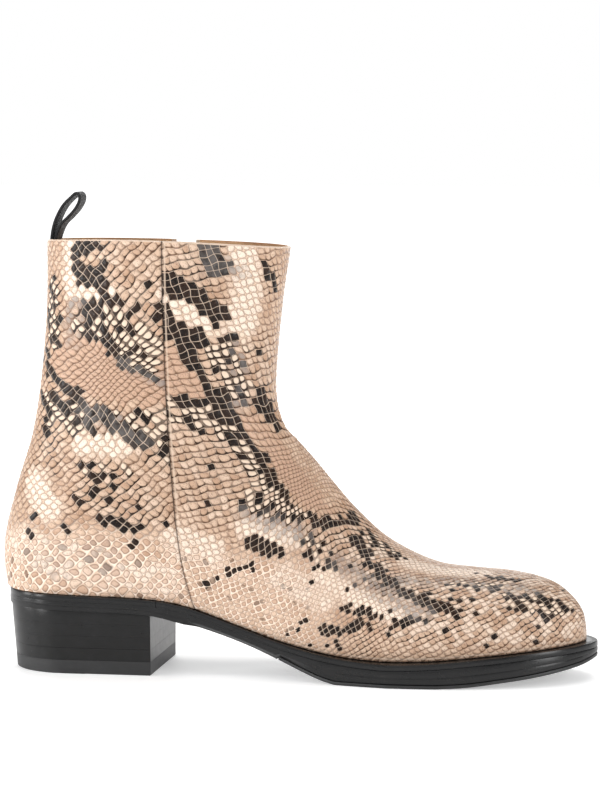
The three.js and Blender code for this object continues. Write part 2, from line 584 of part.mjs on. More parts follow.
function addZip() {
  const line = (offset, low, high) => [low, high].map((z) => [zipX(z) + offset, z]);
  const strip = (from, to, low, high) => {
    const outline = [...line(from, low, high), ...line(to, low, high).reverse()];
    return prism(outline, 0, HALF);
  };
  const fabric = wall(2.2, 0.7);
  for (const [name, side] of [['front', 1], ['back', -1]]) {
    const near = (a, b) => [Math.min(a * side, b * side), Math.max(a * side, b * side)];
    addPiece(`zip_tape_${name}`, fabric.intersect(strip(3.3 * side, 13.5 * side, 71, 219)), 'strap');
    addPiece(`zip_teeth_${name}`, teethRow(side), 'steel');
    const stop = zipBox(near(0.6, 3), [-3.5, -1.5], [TEETH_LENGTH + 1, TEETH_LENGTH + 4]);
    addPiece(`zip_top_stop_${name}`, stop, 'steel');
  }
  addPiece('zip_bottom_stop', zipBox([-3, 3], [-3.5, -1.5], [-4, -0.4]), 'steel');
  addPiece('zip_slider', zipSlider(), 'steel');
  addPiece('zip_puller', zipPuller(), 'steel');
  addPiece('zip_guard', wall(6.2, LINING).intersect(strip(-15, 15, 62, 214)), 'lining');
}

addUpper();
addStiffeners();
addFootbed();
addSole();
addHeel();
addZip();
addPiece('pull_loop', pullLoop(), 'strap');

// Stand the boot on the floor with its plan centred on the origin.
const box = new THREE.Box3().setFromObject(boot);
boot.position.set(-(box.min.x + box.max.x) / 2, -(box.min.y + box.max.y) / 2, -box.min.z);

export default boot;
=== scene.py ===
"""Looks of the snake-embossed ankle boot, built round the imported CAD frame.

Lengths are design millimetres: x from the back of the heel, y towards the inner side, z from
the floor. They turn into the frame's metres when a mesh is made.
"""

import math

import bmesh
import bpy
import numpy as np
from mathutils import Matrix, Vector


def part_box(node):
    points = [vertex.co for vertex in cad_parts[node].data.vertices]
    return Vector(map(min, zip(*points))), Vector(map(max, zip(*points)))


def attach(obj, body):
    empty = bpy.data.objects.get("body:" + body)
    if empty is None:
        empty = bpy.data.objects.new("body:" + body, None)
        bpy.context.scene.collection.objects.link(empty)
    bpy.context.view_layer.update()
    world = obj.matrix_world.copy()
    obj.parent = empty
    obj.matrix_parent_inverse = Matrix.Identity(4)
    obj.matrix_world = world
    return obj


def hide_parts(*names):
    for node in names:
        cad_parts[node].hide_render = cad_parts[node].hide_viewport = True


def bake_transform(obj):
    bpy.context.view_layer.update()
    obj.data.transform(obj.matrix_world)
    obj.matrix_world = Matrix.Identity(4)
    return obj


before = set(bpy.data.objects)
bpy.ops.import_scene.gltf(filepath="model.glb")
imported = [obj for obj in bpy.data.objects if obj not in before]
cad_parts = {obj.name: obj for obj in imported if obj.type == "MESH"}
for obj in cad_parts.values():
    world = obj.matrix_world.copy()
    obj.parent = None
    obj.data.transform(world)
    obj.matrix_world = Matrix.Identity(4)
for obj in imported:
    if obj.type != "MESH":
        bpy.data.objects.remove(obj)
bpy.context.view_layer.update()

MM = 0.001
sole_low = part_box("outsole")[0]
BALL_OUT = 47.0               # how far the sole reaches to the outer side at the ball
SHIFT = np.array([sole_low.x / MM, sole_low.y / MM + BALL_OUT, 0.0])

# ---- the form of the upper, as the CAD has it ----
TOE_X = 302.3
HEEL_ROUND = 33.0
BALL = 1.72
TOP_ARCH = np.array([2.6, 0.4])
LEATHER = 1.4
GAP = 0.3
RIDGE = [(0, 148.5, 220), (0.2, 144.6, 193), (0.4, 141.4, 160), (0.6, 141.6, 140.5),
         (0.8, 145.6, 127.6), (1, 152.5, 120), (1.17, 161.8, 109.7), (1.34, 172, 97.2),
         (1.5, 184.2, 83.2), (1.64, 201, 68.4), (1.74, 224, 57.6), (1.81, 245, 55),
         (1.88, 266, 53.3), (1.94, 284, 48.8), (1.975, 294.5, 41.5), (1.992, 300.3, 33.5),
         (2, 302.3, 25)]
BACK = [(0, 21, 223.3), (0.2, 20.4, 187), (0.4, 17, 150.5), (0.55, 12.2, 122), (0.7, 4.4, 96.5),
        (0.85, -2.2, 70), (0.93, -3, 55.5), (1, -1.2, 42.3)]
FEATHER = [(0, 42.3), (40, 41), (80, 39.6), (100, 36.3), (125, 28), (150, 20), (175, 14.6),
           (200, 12.4), (225, 13), (250, 15.2), (275, 17.4), (302.3, 19.5)]
WIDTH = [(0, 42, 41), (0.2, 40.4, 39.8), (0.4, 38.8, 38.6), (0.6, 38.2, 37.4), (0.8, 37.2, 36.2),
         (1, 36.6, 35.2), (1.17, 37, 34.8), (1.34, 38, 34.6), (1.45, 39.2, 36.4), (1.56, 42, 41.6),
         (1.66, 44.6, 46.2), (1.72, 44.8, 47.2)]
WIDEST = [(0, 0.5, 0.5), (0.6, 0.5, 0.5), (1, 0.55, 0.52), (1.2, 0.6, 0.56), (1.4, 0.66, 0.62),
          (1.6, 0.72, 0.7), (1.8, 0.7, 0.7), (2, 0.6, 0.6)]
FOOT_END = [(1, 0.86, 0.86), (1.15, 0.84, 0.84), (1.34, 0.82, 0.72), (1.5, 0.88, 0.82),
            (1.62, 0.93, 0.92), (1.8, 0.95, 0.95), (2, 0.95, 0.95)]
RIDGE_ROUND = [(0, 0.92), (0.4, 0.95), (0.8, 1), (1, 1), (1.3, 1.02), (1.6, 1.05), (2, 0.96)]
BLUNT = [(0, 2), (0.6, 2.1), (0.85, 2.35), (1, 2.5), (1.2, 2.4), (1.5, 2.3), (2, 2.3)]
CENTRE = [(0, 0), (0.8, 0), (1.2, 0.5), (1.5, 2), (1.75, 3.5), (2, 4)]
SIDE_SEAM = [(30, 105), (38.4, 102.9), (61.5, 97.8), (92.2, 93.7), (143.3, 90.8), (194.2, 89.5),
             (240, 89.6)]
INNER_SEAM = [(30, 90), (38, 88), (66, 79.5), (72, 79)]
ZIP_FOOT = np.array([79.0, 35.3, 75.0])
ZIP_HEAD = np.array([86.0, 41.0, 223.0])
ZIP_SLOT = 5.5
ZIP_SLOT_FOOT = 70.0


def spline(knots, t):
    """Cubic curve through knots (t, values...), with finite-difference tangents."""
    table = np.array(knots, float)
    at, values = table[:, 0], table[:, 1:]
    last = len(at) - 1
    before = np.maximum(np.arange(last + 1) - 1, 0)
    after = np.minimum(np.arange(last + 1) + 1, last)
    slope = (values[after] - values[before]) / (at[after] - at[before])[:, None]
    t = np.clip(np.asarray(t, float), at[0], at[last])
    i = np.clip(np.searchsorted(at, t, side="right") - 1, 0, last - 1)
    step = (at[i + 1] - at[i])[..., None]
    u = (t - at[i])[..., None] / step
    return ((2 * u**3 - 3 * u**2 + 1) * values[i] + (u**3 - 2 * u**2 + u) * step * slope[i]
            + (3 * u**2 - 2 * u**3) * values[i + 1] + (u**3 - u**2) * step * slope[i + 1])


def smooth(low, high, t):
    u = np.clip((t - low) / (high - low), 0, 1)
    return u * u * (3 - 2 * u)


def toe_round(f):
    return np.maximum(1 - np.clip(f, 0, 1) ** 2.2, 0) ** (1 / 1.8)


def heel_round(f):
    return np.sqrt(np.maximum(1 - np.clip(f, 0, 1) ** 2.3, 0))


def feather(x):
    """Height of the edge where the upper meets the sole."""
    return spline(FEATHER, x)[..., 0]


def ease_in(u, width):
    v = np.clip(u / width, 0, 1)
    return np.where(u < width, width * (2 * v * v - v**3), u)


def pick(pair, inner):
    """The outer side's value (first) or the inner side's (second)."""
    return np.where(inner, pair[..., 1], pair[..., 0])


def form(s, b):
    """Points of the upper: s runs from the top line (0) by the heel corner (1) to the toe (2),
    b from the outer side's edge (-1) over the ridge (0) to the inner side's edge (1)."""
    s, b = np.broadcast_arrays(np.asarray(s, float), np.asarray(b, float))
    a, inner = np.abs(b), b > 0
    ridge = spline(RIDGE, s)
    along = ease_in(np.maximum(s, 1) - 1, 0.3)
    x = along * TOE_X - 1.2 * (1 - np.clip(along * TOE_X / 40, 0, 1))
    back = spline(BACK, 1 - ease_in(1 - np.minimum(s, 1), 0.35))
    edge = np.where((s <= 1)[..., None], back, np.stack([x, feather(x)], -1))
    at = np.where(s <= 1, s, 1 + along)
    toe = ((at - 1) * TOE_X - (BALL - 1) * TOE_X) / (TOE_X - (BALL - 1) * TOE_X)
    width = pick(spline(WIDTH, np.minimum(at, BALL)), inner) * toe_round(toe)
    ratio = heel_round((HEEL_ROUND - (at - 1) * TOE_X) / HEEL_ROUND) * pick(spline(FOOT_END, at), inner)
    ratio = np.where(at <= 1, 0, ratio)
    power = spline(BLUNT, s)[..., 0]
    widest = pick(spline(WIDEST, s), inner)
    sweep = np.sin(np.clip(2 * a - 1, 0, 1) * np.pi / 2)
    turn = np.clip(2 * a, 0, 1) * np.pi / 2
    h = np.where(a < 0.5, widest * (1 - np.cos(turn)), widest + (1 - widest) * sweep)
    upper = np.sin(turn) ** spline(RIDGE_ROUND, s)[..., 0]
    lower = np.maximum(1 - (1 - ratio**power) * sweep**power, 0) ** (1 / power)
    y = width * np.where(a < 0.5, upper, lower)
    arch = pick(TOP_ARCH, inner) * np.clip(1 - s / 0.5, 0, 1) ** 2 * 4 * h * (1 - h)
    xz = ridge + (edge - ridge) * h[..., None]
    y = spline(CENTRE, s)[..., 0] + np.where(inner, y, -y)
    return np.stack([xz[..., 0], y, xz[..., 1] + arch], -1)


# ---- flat layout of the form, for the pattern ----
S_TABLE = np.linspace(0, 2, 401)
A_TABLE = np.linspace(0, 1, 81)


def running_length(points, axis=0):
    step = np.linalg.norm(np.diff(points, axis=axis), axis=-1)
    total = np.cumsum(step, axis=axis)
    return np.insert(total, 0, 0, axis=axis)


def flat_tables():
    """Where the widest line lies when the side is laid flat, the direction of each section there,
    and the length along each section from the widest line."""
    widest = form(S_TABLE, -0.5)
    step = np.diff(widest, axis=0)
    level = step[:, [0, 2]]
    level /= np.maximum(np.linalg.norm(level, axis=1), 1e-9)[:, None]
    line = widest[0, [0, 2]] + np.insert(
        np.cumsum(level * np.linalg.norm(step, axis=1)[:, None], axis=0), 0, 0, axis=0)
    chord = (form(S_TABLE, -1) - form(S_TABLE, 0))[:, [0, 2]]
    chord /= np.maximum(np.linalg.norm(chord, axis=1), 1e-9)[:, None]
    chord[-1] = chord[-2]
    lengths = []
    for side in (-1, 1):
        run = running_length(form(S_TABLE[:, None], side * A_TABLE[None]), axis=1)
        lengths.append(run - run[:, [len(A_TABLE) // 2]])
    return line, chord, lengths


LINE, CHORD, LENGTHS = flat_tables()


def section_length(s, b):
    i = np.clip(s / S_TABLE[1], 0, len(S_TABLE) - 1.001)
    j = np.clip(np.abs(b) / A_TABLE[1], 0, len(A_TABLE) - 1.001)
    i0, j0 = i.astype(int), j.astype(int)
    u, v = i - i0, j - j0
    out = 0
    for side, table in enumerate(LENGTHS):
        value = ((table[i0, j0] * (1 - v) + table[i0, j0 + 1] * v) * (1 - u)
                 + (table[i0 + 1, j0] * (1 - v) + table[i0 + 1, j0 + 1] * v) * u)
        out = out + np.where((b > 0) == (side == 1), value, 0)
    return out


def flat(s, b):
    """Place (x, z) of a form point on the side laid flat; equal to the side view at mid side."""
    s, b = np.broadcast_arrays(np.asarray(s, float), np.asarray(b, float))
    length = section_length(s, b)
    place = [np.interp(s, S_TABLE, LINE[:, k]) + np.interp(s, S_TABLE, CHORD[:, k]) * length
             for k in (0, 1)]
    return np.stack(place, -1)


# ---- panels of the upper, as grids of form parameters ----
PANEL_ROWS, PANEL_COLUMNS = 360, 240
COARSE = 4                    # the hidden face of a panel has a grid this much wider


def side_seam_x(z):
    return spline(SIDE_SEAM, z)[..., 0]


def zip_x(z):
    return ZIP_FOOT[0] + (ZIP_HEAD[0] - ZIP_FOOT[0]) * (z - ZIP_FOOT[2]) / (ZIP_HEAD[2] - ZIP_FOOT[2])


def inner_edge_x(z, direction, slot=ZIP_SLOT):
    """x of a panel's edge on the inner side: the inner seam low down, the zip slot above it."""
    low = np.linspace(28, ZIP_SLOT_FOOT - 4, 7)
    seam = spline(INNER_SEAM, low)[..., 0] + direction * GAP / 2
    foot = spline(INNER_SEAM, ZIP_SLOT_FOOT)[..., 0] + direction * slot * 0.7
    start = ZIP_SLOT_FOOT + slot * 0.5
    heights = [*low, ZIP_SLOT_FOOT - slot * 0.3, start, 240]
    places = [*seam, foot, zip_x(start) + direction * slot, zip_x(240) + direction * slot]
    return np.interp(z, heights, places)


def crossing(s, side, line):
    """Share of each section at which it crosses x = line(z), or 1 where it stays ahead of it."""
    a = np.linspace(0, 1, 500)
    points = form(s[:, None], side * a[None])
    ahead = points[..., 0] - line(points[..., 2])
    behind = ahead < 0
    k = np.maximum(np.argmax(behind, axis=1), 1)
    row = np.arange(len(s))
    f0, f1 = ahead[row, k - 1], ahead[row, k]
    exact = a[k - 1] + (a[k] - a[k - 1]) * f0 / np.where(f0 == f1, 1, f0 - f1)
    return np.where(behind.any(axis=1), exact, 1)


def even(values, run, count):
    """Resample values, whose running length is run, at count + 1 even steps."""
    return np.interp(np.linspace(0, run[-1], count + 1), run, values)


def front_grid(rows, columns, slot=ZIP_SLOT):
    dense = np.linspace(0, 2, 900)
    run = sum(running_length(form(dense, b)) for b in (-0.5, 0, 0.5))
    s = even(dense, run, rows)
    first = -crossing(s, -1, lambda z: side_seam_x(z) + GAP / 2)
    last = crossing(s, 1, lambda z: inner_edge_x(z, 1, slot))
    b = np.empty((rows + 1, columns + 1))
    for i in range(rows + 1):
        fine = np.linspace(first[i], last[i], 500)
        b[i] = even(fine, running_length(form(np.full(500, s[i]), fine)), columns)
    return np.broadcast_to(s[:, None], b.shape).copy(), b


def back_half(side, line, rows, columns):
    """Grid of one side of the back panel, from its seam (first column) to the back (last). Its
    columns stand at even turns about the seam line; its rows share each column's length evenly."""
    s = np.linspace(0, 1.4, 421)
    a = np.linspace(0, 1, 401)
    points = form(s[:, None], side * a[None])
    across = np.abs(points[..., 1] - spline(CENTRE, s))
    turn = np.arctan2(line(points[..., 2]) - points[..., 0], np.maximum(across, 1e-6))
    turn = np.maximum.accumulate(turn, axis=1)
    ends = turn[:, -1]
    first = np.interp(0, turn[0], a)
    share = np.linspace(first, 1, 400)
    top_a = even(share, running_length(form(np.zeros(400), side * share)), columns)
    top_turn = np.interp(top_a, a, turn[0])
    grid_s = np.empty((rows + 1, columns + 1))
    grid_a = np.empty_like(grid_s)
    for c in range(columns + 1):
        if c == columns:
            path_s, path_a = np.linspace(0, 1, 500), np.ones(500)
        else:
            reach = ends > top_turn[c]
            last = len(reach) - 1 if reach.all() else int(np.argmin(reach))
            k = slice(last - 1, last + 1)
            end = float(np.interp(-top_turn[c], -ends[k], s[k]))
            inner_a = [np.interp(top_turn[c], turn[i], a) for i in range(last)]
            path_s, path_a = np.append(s[:last], end), np.append(inner_a, 1)
        run = running_length(form(path_s, side * path_a))
        grid_s[:, c], grid_a[:, c] = even(path_s, run, rows), even(path_a, run, rows)
    return grid_s, side * np.clip(grid_a, 0, 1)


def back_grid(rows, columns, slot=ZIP_SLOT):
    s0, b0 = back_half(-1, lambda z: side_seam_x(z) - GAP / 2, rows, columns // 2)
    s1, b1 = back_half(1, lambda z: inner_edge_x(z, -1, slot), rows, columns // 2)
    return np.hstack([s0, s1[:, -2::-1]]), np.hstack([b0, b1[:, -2::-1]])


def grid_normals(points, end_normal=None):
    along = np.gradient(points, axis=0)
    across = np.gradient(points, axis=1)
    normal = np.cross(across, along)
    normal /= np.maximum(np.linalg.norm(normal, axis=-1), 1e-9)[..., None]
    centre = points.reshape(-1, 3).mean(0)
    if (normal * (points - centre)).sum() < 0:
        normal = -normal
    if end_normal is not None:
        normal[-1] = end_normal
    return normal


# ---- the snake pattern: slanted rows of scales, coloured scale by scale ----
BACK_SCALE = (5.7, 5.2)       # length and height of a scale on the back panel
FRONT_SCALE = [(0, 5.7, 4.9), (125, 5.6, 4.8), (170, 4.8, 4.3), (215, 4.2, 3.9), (330, 4.2, 3.9)]
SPINE = [(0, 40, 179), (60, 92.5, 149.9), (126, 150, 118), (160, 180, 102), (200, 217, 87),
         (240, 256, 76), (300, 315, 66)]
# Places where the scales come out smaller (the saddles) or larger (over the heel): centre, reach, amount.
CROWDING = [((62, 156), 25.0, 0.6), ((158, 108), 25.0, 0.6), ((46, 46), 42.0, -0.24)]
INNER_OFFSET = (9.0, -7.0)    # the inner side's markings lie off the outer side's by this much

STRAY_SHARE = 0.014           # how many scales beside a dark marking are dark too
# Thresholds of a scale's throw: scales left out of a white row, white ones in a spotted place (on even
# and on odd rows), dark ones there, and brown ones low on the boot.
WHITE_GAPS, SPOTTED_WHITE, SPOTTED_DARK, LOW_BROWN = 0.2, (0.3, 0.88), 0.35, 0.9
VAMP_START = 1.5              # where along the upper the vamp's markings are counted from; the toe is at 2
VAMP_TURN = 0.7               # share of the seen height above which the side still faces upwards


def vamp(half_width, places):
    """A route on the vamp. Each point says how far it lies from the ankle to the toe, from 0 to 1, and
    how far down the side the eye sees it, from 0 at the top line to 1 at the sole."""
    run, down = np.array(places, float).T
    above = np.arccos(1 - np.minimum(down, VAMP_TURN) / VAMP_TURN)
    below = np.arcsin(np.maximum(down - VAMP_TURN, 0) / (1 - VAMP_TURN))
    return half_width, flat(VAMP_START + (2 - VAMP_START) * run, -(above + below) / np.pi)


# Saddles are outlines (x, z); all other markings are routes (half width, points along it).
SADDLES = [
    [(20, 160), (32, 168.5), (45, 173), (58, 169.5), (64, 163), (71, 156), (80, 153), (91, 150),
     (91, 146), (81, 140), (71, 138), (59, 141.5), (50, 145.5), (36, 151.5), (22, 157)],
    [(88, 168.5), (97.5, 168.5), (100.5, 159), (107, 156.5), (112, 143), (88, 142.5)],
    [(130, 133), (138, 136), (149, 126), (158, 112), (170, 98), (178, 89), (163, 88.5), (150, 103),
     (140, 120), (134, 126)],
]
DARK = [
    (3.2, [(45, 217), (51, 221), (57, 220)]), (5.2, [(47, 207), (57, 202)]),
    (6.2, [(52, 186), (65, 190)]), (5, [(52, 178), (60, 171), (67, 168), (75, 160)]),
    (3.4, [(72, 160), (88, 153)]), (5, [(23, 196), (22, 172)]), (2.8, [(18, 166), (20, 156), (45, 144)]),
    (4.6, [(117, 220), (117, 208)]), (2.6, [(126, 210)]), (2.4, [(144, 212), (150, 204)]),
    (5.4, [(98, 199), (108, 195), (121, 185)]), (6, [(91, 188), (98, 177), (112, 172)]),
    (5, [(104, 167), (110, 152), (119, 140), (126, 129)]), (4.5, [(92, 140), (108, 140), (122, 134)]),
    (4.5, [(124, 141), (127, 124)]), (4.5, [(143, 142), (149, 134)]),
    (3.6, [(128, 134), (134, 121), (145, 103), (157, 86), (176, 82)]), (4, [(140, 69), (152, 63)]),
    (1.8, [(113, 46), (121, 49), (128, 52), (135, 54), (141, 55)]), (1.8, [(134, 48)]),
    (2.2, [(254, 66), (268, 62)]),
    (3, [(268, 45), (278, 40)]), (2.6, [(286, 36), (292, 32)]),
    (5, [(45, 137), (62, 130), (80, 120)]), (1.4, [(49, 109), (60, 110)]), (2, [(56, 102), (68, 98)]),
    (1.8, [(47, 88), (58, 92), (66, 85)]), (2, [(37, 79)]), (2, [(40, 74)]), (1.8, [(31, 74)]),
    (2, [(63, 78), (72, 77)]), (1.8, [(73, 70)]), (2, [(8, 71)]), (1.8, [(18, 69)]),
    (4, [(22, 140), (24, 124)]),
    vamp(3, [(-0.15, 0.2), (-0.05, 0.1), (0.02, 0.02)]),
    vamp(3, [(0.1, 0.1), (0.25, 0.2), (0.4, 0.3), (0.5, 0.35), (0.6, 0.5)]),
    vamp(2.4, [(0.5, 0.55), (0.4, 0.65)]), vamp(2.2, [(0.2, 0.6), (0.35, 0.6)]),
    vamp(2.4, [(0.3, 0.7), (0.15, 0.85)]),
    vamp(2, [(0.05, 0.95)]), vamp(2, [(0.2, 0.95)]), vamp(2, [(0.3, 0.9)]),
]
# Partly grey patches of the skin, mostly painted sheen: a reflection on dark scales painted as grey.
GREY_AND_SHEEN_ROUTES = [
    (6, [(43, 190), (42, 174)]), (4, [(117, 220), (117, 208)]), (4, [(129, 168), (131, 140)]),
    (5, [(50, 134), (78, 124)]), (5, [(136, 84), (150, 78), (163, 74)]), (3, [(126, 210), (132, 206)]),
    (3, [(72, 160), (88, 153)]), (3, [(31, 65)]), (6, [(56, 62), (66, 58)]), (5, [(20, 56), (38, 52)]),
    vamp(5, [(0.1, 0.3), (0.3, 0.35), (0.5, 0.5)]), vamp(4, [(0.4, 0.2), (0.6, 0.1), (0.85, 0.15)]),
]
# Cream patches, and painted highlights: the streaks up the back and front of the shaft.
CREAM_AND_HIGHLIGHT_ROUTES = [
    (4, [(38, 222), (38, 205), (40, 196)]), (4, [(46, 197), (66, 194)]),
    (4.6, [(92, 198), (104, 186), (118, 178)]),
    (7, [(134, 220), (136, 196), (132, 180)]), (5, [(136, 76), (156, 72)]),
    (5, [(50, 117), (72, 116)]), (8, [(10, 64), (40, 56), (90, 50)]),
    (7, [(96, 70), (118, 62)]), (7, [(18, 96), (30, 84)]),
    vamp(6, [(-0.1, 0.6), (0.1, 0.6)]), vamp(5, [(0.05, 0.45), (0.25, 0.5), (0.45, 0.55)]),
    vamp(5, [(0.4, 0.05), (0.65, 0.02)]),
]
WHITE_ROWS = [
    (2.6, [(41, 179), (73, 179)]), (2.6, [(62, 185), (90, 158)]), (2.2, [(70, 186), (90, 168)]),
    (2.4, [(19, 192), (26, 176)]), (2.4, [(20, 180), (28, 190)]), (2.6, [(117, 168), (128, 145)]),
    (2.2, [(124, 170), (134, 148)]), (2.4, [(98, 139), (113, 131), (121, 126)]),
    (2.4, [(127, 117), (140, 101), (156, 84)]), (2.6, [(22, 140), (52, 120)]), (2.4, [(24, 128), (46, 132)]),
    (2, [(70, 132), (92, 120)]),
]
SPOTTED = [
    (6, [(68, 184), (88, 164)]), (5, [(64, 176), (86, 157)]), (7, [(22, 197), (24, 172)]),
    (7, [(121, 164), (131, 148)]), (6, [(19, 142), (50, 126)]), (6, [(96, 136), (124, 127)]),
    (5, [(128, 118), (142, 100)]), (5, [(134, 90), (158, 84)]),
    (4, [(196, 86), (206, 76)]), (6, [(268, 44), (288, 40), (300, 36)]), (4, [(240, 56), (262, 56)]),
    (5, [(82, 132), (92, 116)]), (4, [(120, 176), (134, 170)]), (2, [(50, 107), (74, 105)]),
    vamp(5, [(-0.1, 0.3), (0.05, 0.4)]),
]
EDGED = [
    (14, [(74, 214), (80, 190), (86, 178)]), (12, [(102, 214), (100, 205)]), (9, [(143, 170), (144, 148)]),
    (22, [(100, 124), (122, 98)]), (12, [(28, 118), (20, 96)]), (14, [(60, 100), (80, 84)]),
    (16, [(190, 66), (180, 56)]), (22, [(225, 40), (300, 40)]), (14, [(250, 60), (285, 60)]),
    (10, [(92, 216), (96, 196)]),
]


def route_distance(places, points):
    """Distance of each place from a route of points."""
    points = np.array(points, float)
    best = np.linalg.norm(places - points[0], axis=1)
    for start, end in zip(points, points[1:]):
        step = end - start
        u = np.clip((places - start) @ step / (step @ step), 0, 1)
        best = np.minimum(best, np.linalg.norm(places - start - u[:, None] * step, axis=1))
    return best


def routes_depth(places, routes):
    """How deep each place lies inside the nearest of the routes (negative outside)."""
    return np.max([width - route_distance(places, points) for width, points in routes], axis=0)


def outline_depth(places, corners):
    """How deep each place lies inside a closed outline (negative outside)."""
    corners = np.array(corners, float)
    x, z = places.T
    inside = np.zeros(len(places), bool)
    for (x0, z0), (x1, z1) in zip(corners, np.roll(corners, -1, axis=0)):
        if z0 != z1:
            crosses = (z0 > z) != (z1 > z)
            inside ^= crosses & (x < (x1 - x0) * (z - z0) / (z1 - z0) + x0)
    edge = route_distance(places, np.vstack([corners, corners[:1]]))
    return np.where(inside, edge, -edge)


def warped(places):
    """Spread the places out or draw them together, for smaller and larger scales."""
    out = places.copy()
    for centre, reach, amount in CROWDING:
        away = places - centre
        out += amount * away * np.exp(-(away**2).sum(-1, keepdims=True) / reach**2)
    return out


def spine_tables():
    run = np.arange(0, 300.5, 1.0)
    line = spline(SPINE, run)
    tangent = np.gradient(line, axis=0)
    tangent /= np.linalg.norm(tangent, axis=1)[:, None]
    size = spline(FRONT_SCALE, running_length(line))
    count = running_length(line) / size[:, 0]
    return line, tangent, running_length(line), size, count


SPINE_LINE, SPINE_TANGENT, SPINE_RUN, SPINE_SIZE, SPINE_COUNT = spine_tables()


def rows_front(places):
    """Counts of scales along and across the front panel's rows."""
    flat_places = warped(places).reshape(-1, 2)
    out = np.empty_like(flat_places)
    for start in range(0, len(flat_places), 20000):
        part = flat_places[start:start + 20000]
        nearest = ((part[:, None] - SPINE_LINE[None])**2).sum(-1).argmin(1)
        away = part - SPINE_LINE[nearest]
        along, across = SPINE_TANGENT[nearest].T
        p = SPINE_RUN[nearest] + away[:, 0] * along + away[:, 1] * across
        q = away[:, 1] * along - away[:, 0] * across
        out[start:start + 20000, 0] = np.interp(p, SPINE_RUN, SPINE_COUNT) + (
            np.minimum(p, 0) + np.maximum(p - SPINE_RUN[-1], 0)) / SPINE_SIZE[nearest, 0]
        out[start:start + 20000, 1] = q / np.interp(p, SPINE_RUN, SPINE_SIZE[:, 1])
    return out.reshape(places.shape)


def rows_back(places):
    """Counts of scales along and across the back panel's rows."""
    return warped(places) / BACK_SCALE


def uneven(places):
    """Small waves in the rows, so that no two scales are quite alike."""
    x, z = places[..., 0], places[..., 1]
    along = 0.075 * np.sin(0.55 * x + 0.23 * z) + 0.06 * np.sin(0.61 * z - 0.17 * x + 1.1)
    across = 0.075 * np.sin(0.57 * z + 0.31 * x + 2) + 0.05 * np.sin(0.73 * x - 0.2 * z)
    return np.stack([along, across], -1)


def lattice(s, b, front):
    """Scale coordinates of a panel's points: each pair of whole numbers is one scale. The inner
    side mirrors the outer side, so that the rows meet at the front ridge and at the back."""
    places = flat(s, b)
    count = (rows_front if front else rows_back)(places) + uneven(places)
    return np.stack([count[..., 0] + count[..., 1], count[..., 0] - count[..., 1]], -1)


def dice(cells, salt):
    """A repeatable random number from 0 to 1 for each scale."""
    value = np.sin(cells[:, 0] * 127.1 + cells[:, 1] * 311.7 + salt * 74.7) * 43758.5453
    return value - np.floor(value)


def markings(s, b, cells, front):
    """Per scale: darkness, grey patches with painted sheen, white, saddle, gap darkness, cream patches
    with painted highlights, and how far it is one of the round scales low on the boot, spread to
    the points."""
    places = flat(s, b).reshape(-1, 2)
    off_fold = np.abs(b) if front else 1 - np.abs(b)
    shift = np.where(b > 0, smooth(0, 0.6, off_fold), 0).reshape(-1, 1)
    places = places + shift * INNER_OFFSET
    whole = np.floor(cells.reshape(-1, 2)).astype(int)
    keys, which, count = np.unique(whole, axis=0, return_inverse=True, return_counts=True)
    which = which.ravel()
    centre = np.stack([np.bincount(which, places[:, k]) / count for k in (0, 1)], -1)
    jitter = dice(keys, 1) - 0.5
    saddle = np.max([outline_depth(centre, outline) for outline in SADDLES], axis=0)
    on_saddle = saddle > -0.5
    dark_depth = routes_depth(centre, DARK)
    white = (routes_depth(centre, WHITE_ROWS) + jitter * 0.8 > 0) & (dice(keys, 2) > WHITE_GAPS)
    spotted = routes_depth(centre, SPOTTED) + jitter * 4 > 0
    chance = np.where(keys[:, 0] % 2 == 0, *SPOTTED_WHITE)
    white |= spotted & (dice(keys, 4) > chance)
    white &= ~on_saddle
    dark = (dark_depth + jitter * 3.4 > 0) | (spotted & (dice(keys, 5) > SPOTTED_DARK))
    dark &= ~white & ~on_saddle
    near = smooth(-16, -3, dark_depth) + 2 * smooth(-2, 6, routes_depth(centre, EDGED))
    stray = (dice(keys, 3) > 1 - STRAY_SHARE * near) & ~on_saddle
    dark |= stray & ~white
    # Grey patches and painted sheen, a reflection painted as grey on the scales.
    grey_and_sheen = smooth(-3, 1.5, routes_depth(centre, GREY_AND_SHEEN_ROUTES) + jitter * 2)
    # Cream patches and painted highlights: paler scales and lighter gaps between them.
    cream_and_highlight = smooth(-4, 2, routes_depth(centre, CREAM_AND_HIGHLIGHT_ROUTES) + jitter * 2) * ~on_saddle
    edged = smooth(-5, 3, routes_depth(centre, EDGED))
    low_top = 62 - 12 * smooth(80, 120, centre[:, 0])
    low = (1 - smooth(0, 22, centre[:, 1] - low_top)) * (1 - smooth(150, 200, centre[:, 0]))
    brown = (dice(keys, 6) > LOW_BROWN) & (low > 0.6) & ~dark
    dark = np.where(brown, 0.5, dark)
    gap = 0.3 + 0.6 * smooth(-10, -1, dark_depth) + 0.5 * edged + 0.25 * jitter
    gap = np.clip(gap + 0.8 * (white | spotted), 0, 1)
    gap = np.where(on_saddle, 0.5, gap * (1 - 0.8 * cream_and_highlight) * (1 - 0.9 * low))
    on_vamp = smooth(175, 200, centre[:, 0])
    cream_and_highlight = np.maximum(cream_and_highlight, (0.25 + 0.4 * on_vamp) * edged * (dice(keys, 7) > 0.6))
    layers = [dark, grey_and_sheen, white, on_saddle, gap, cream_and_highlight, low]
    return [layer.astype(float)[which].reshape(s.shape) for layer in layers]


GROOVE = 0.16                 # depth of the furrows between the scales
SCALE_CROWN = 0.1


def relief(cells, fade):
    """Height of the embossing over the plain form."""
    inside = 0.5 - np.abs(cells - np.floor(cells) - 0.5).max(-1)
    return fade * (SCALE_CROWN * smooth(0.1, 0.5, inside) - GROOVE * (1 - smooth(0, 0.2, inside)))


# ---- meshes ----
def metres(points):
    return (np.asarray(points, float) + SHIFT) * MM


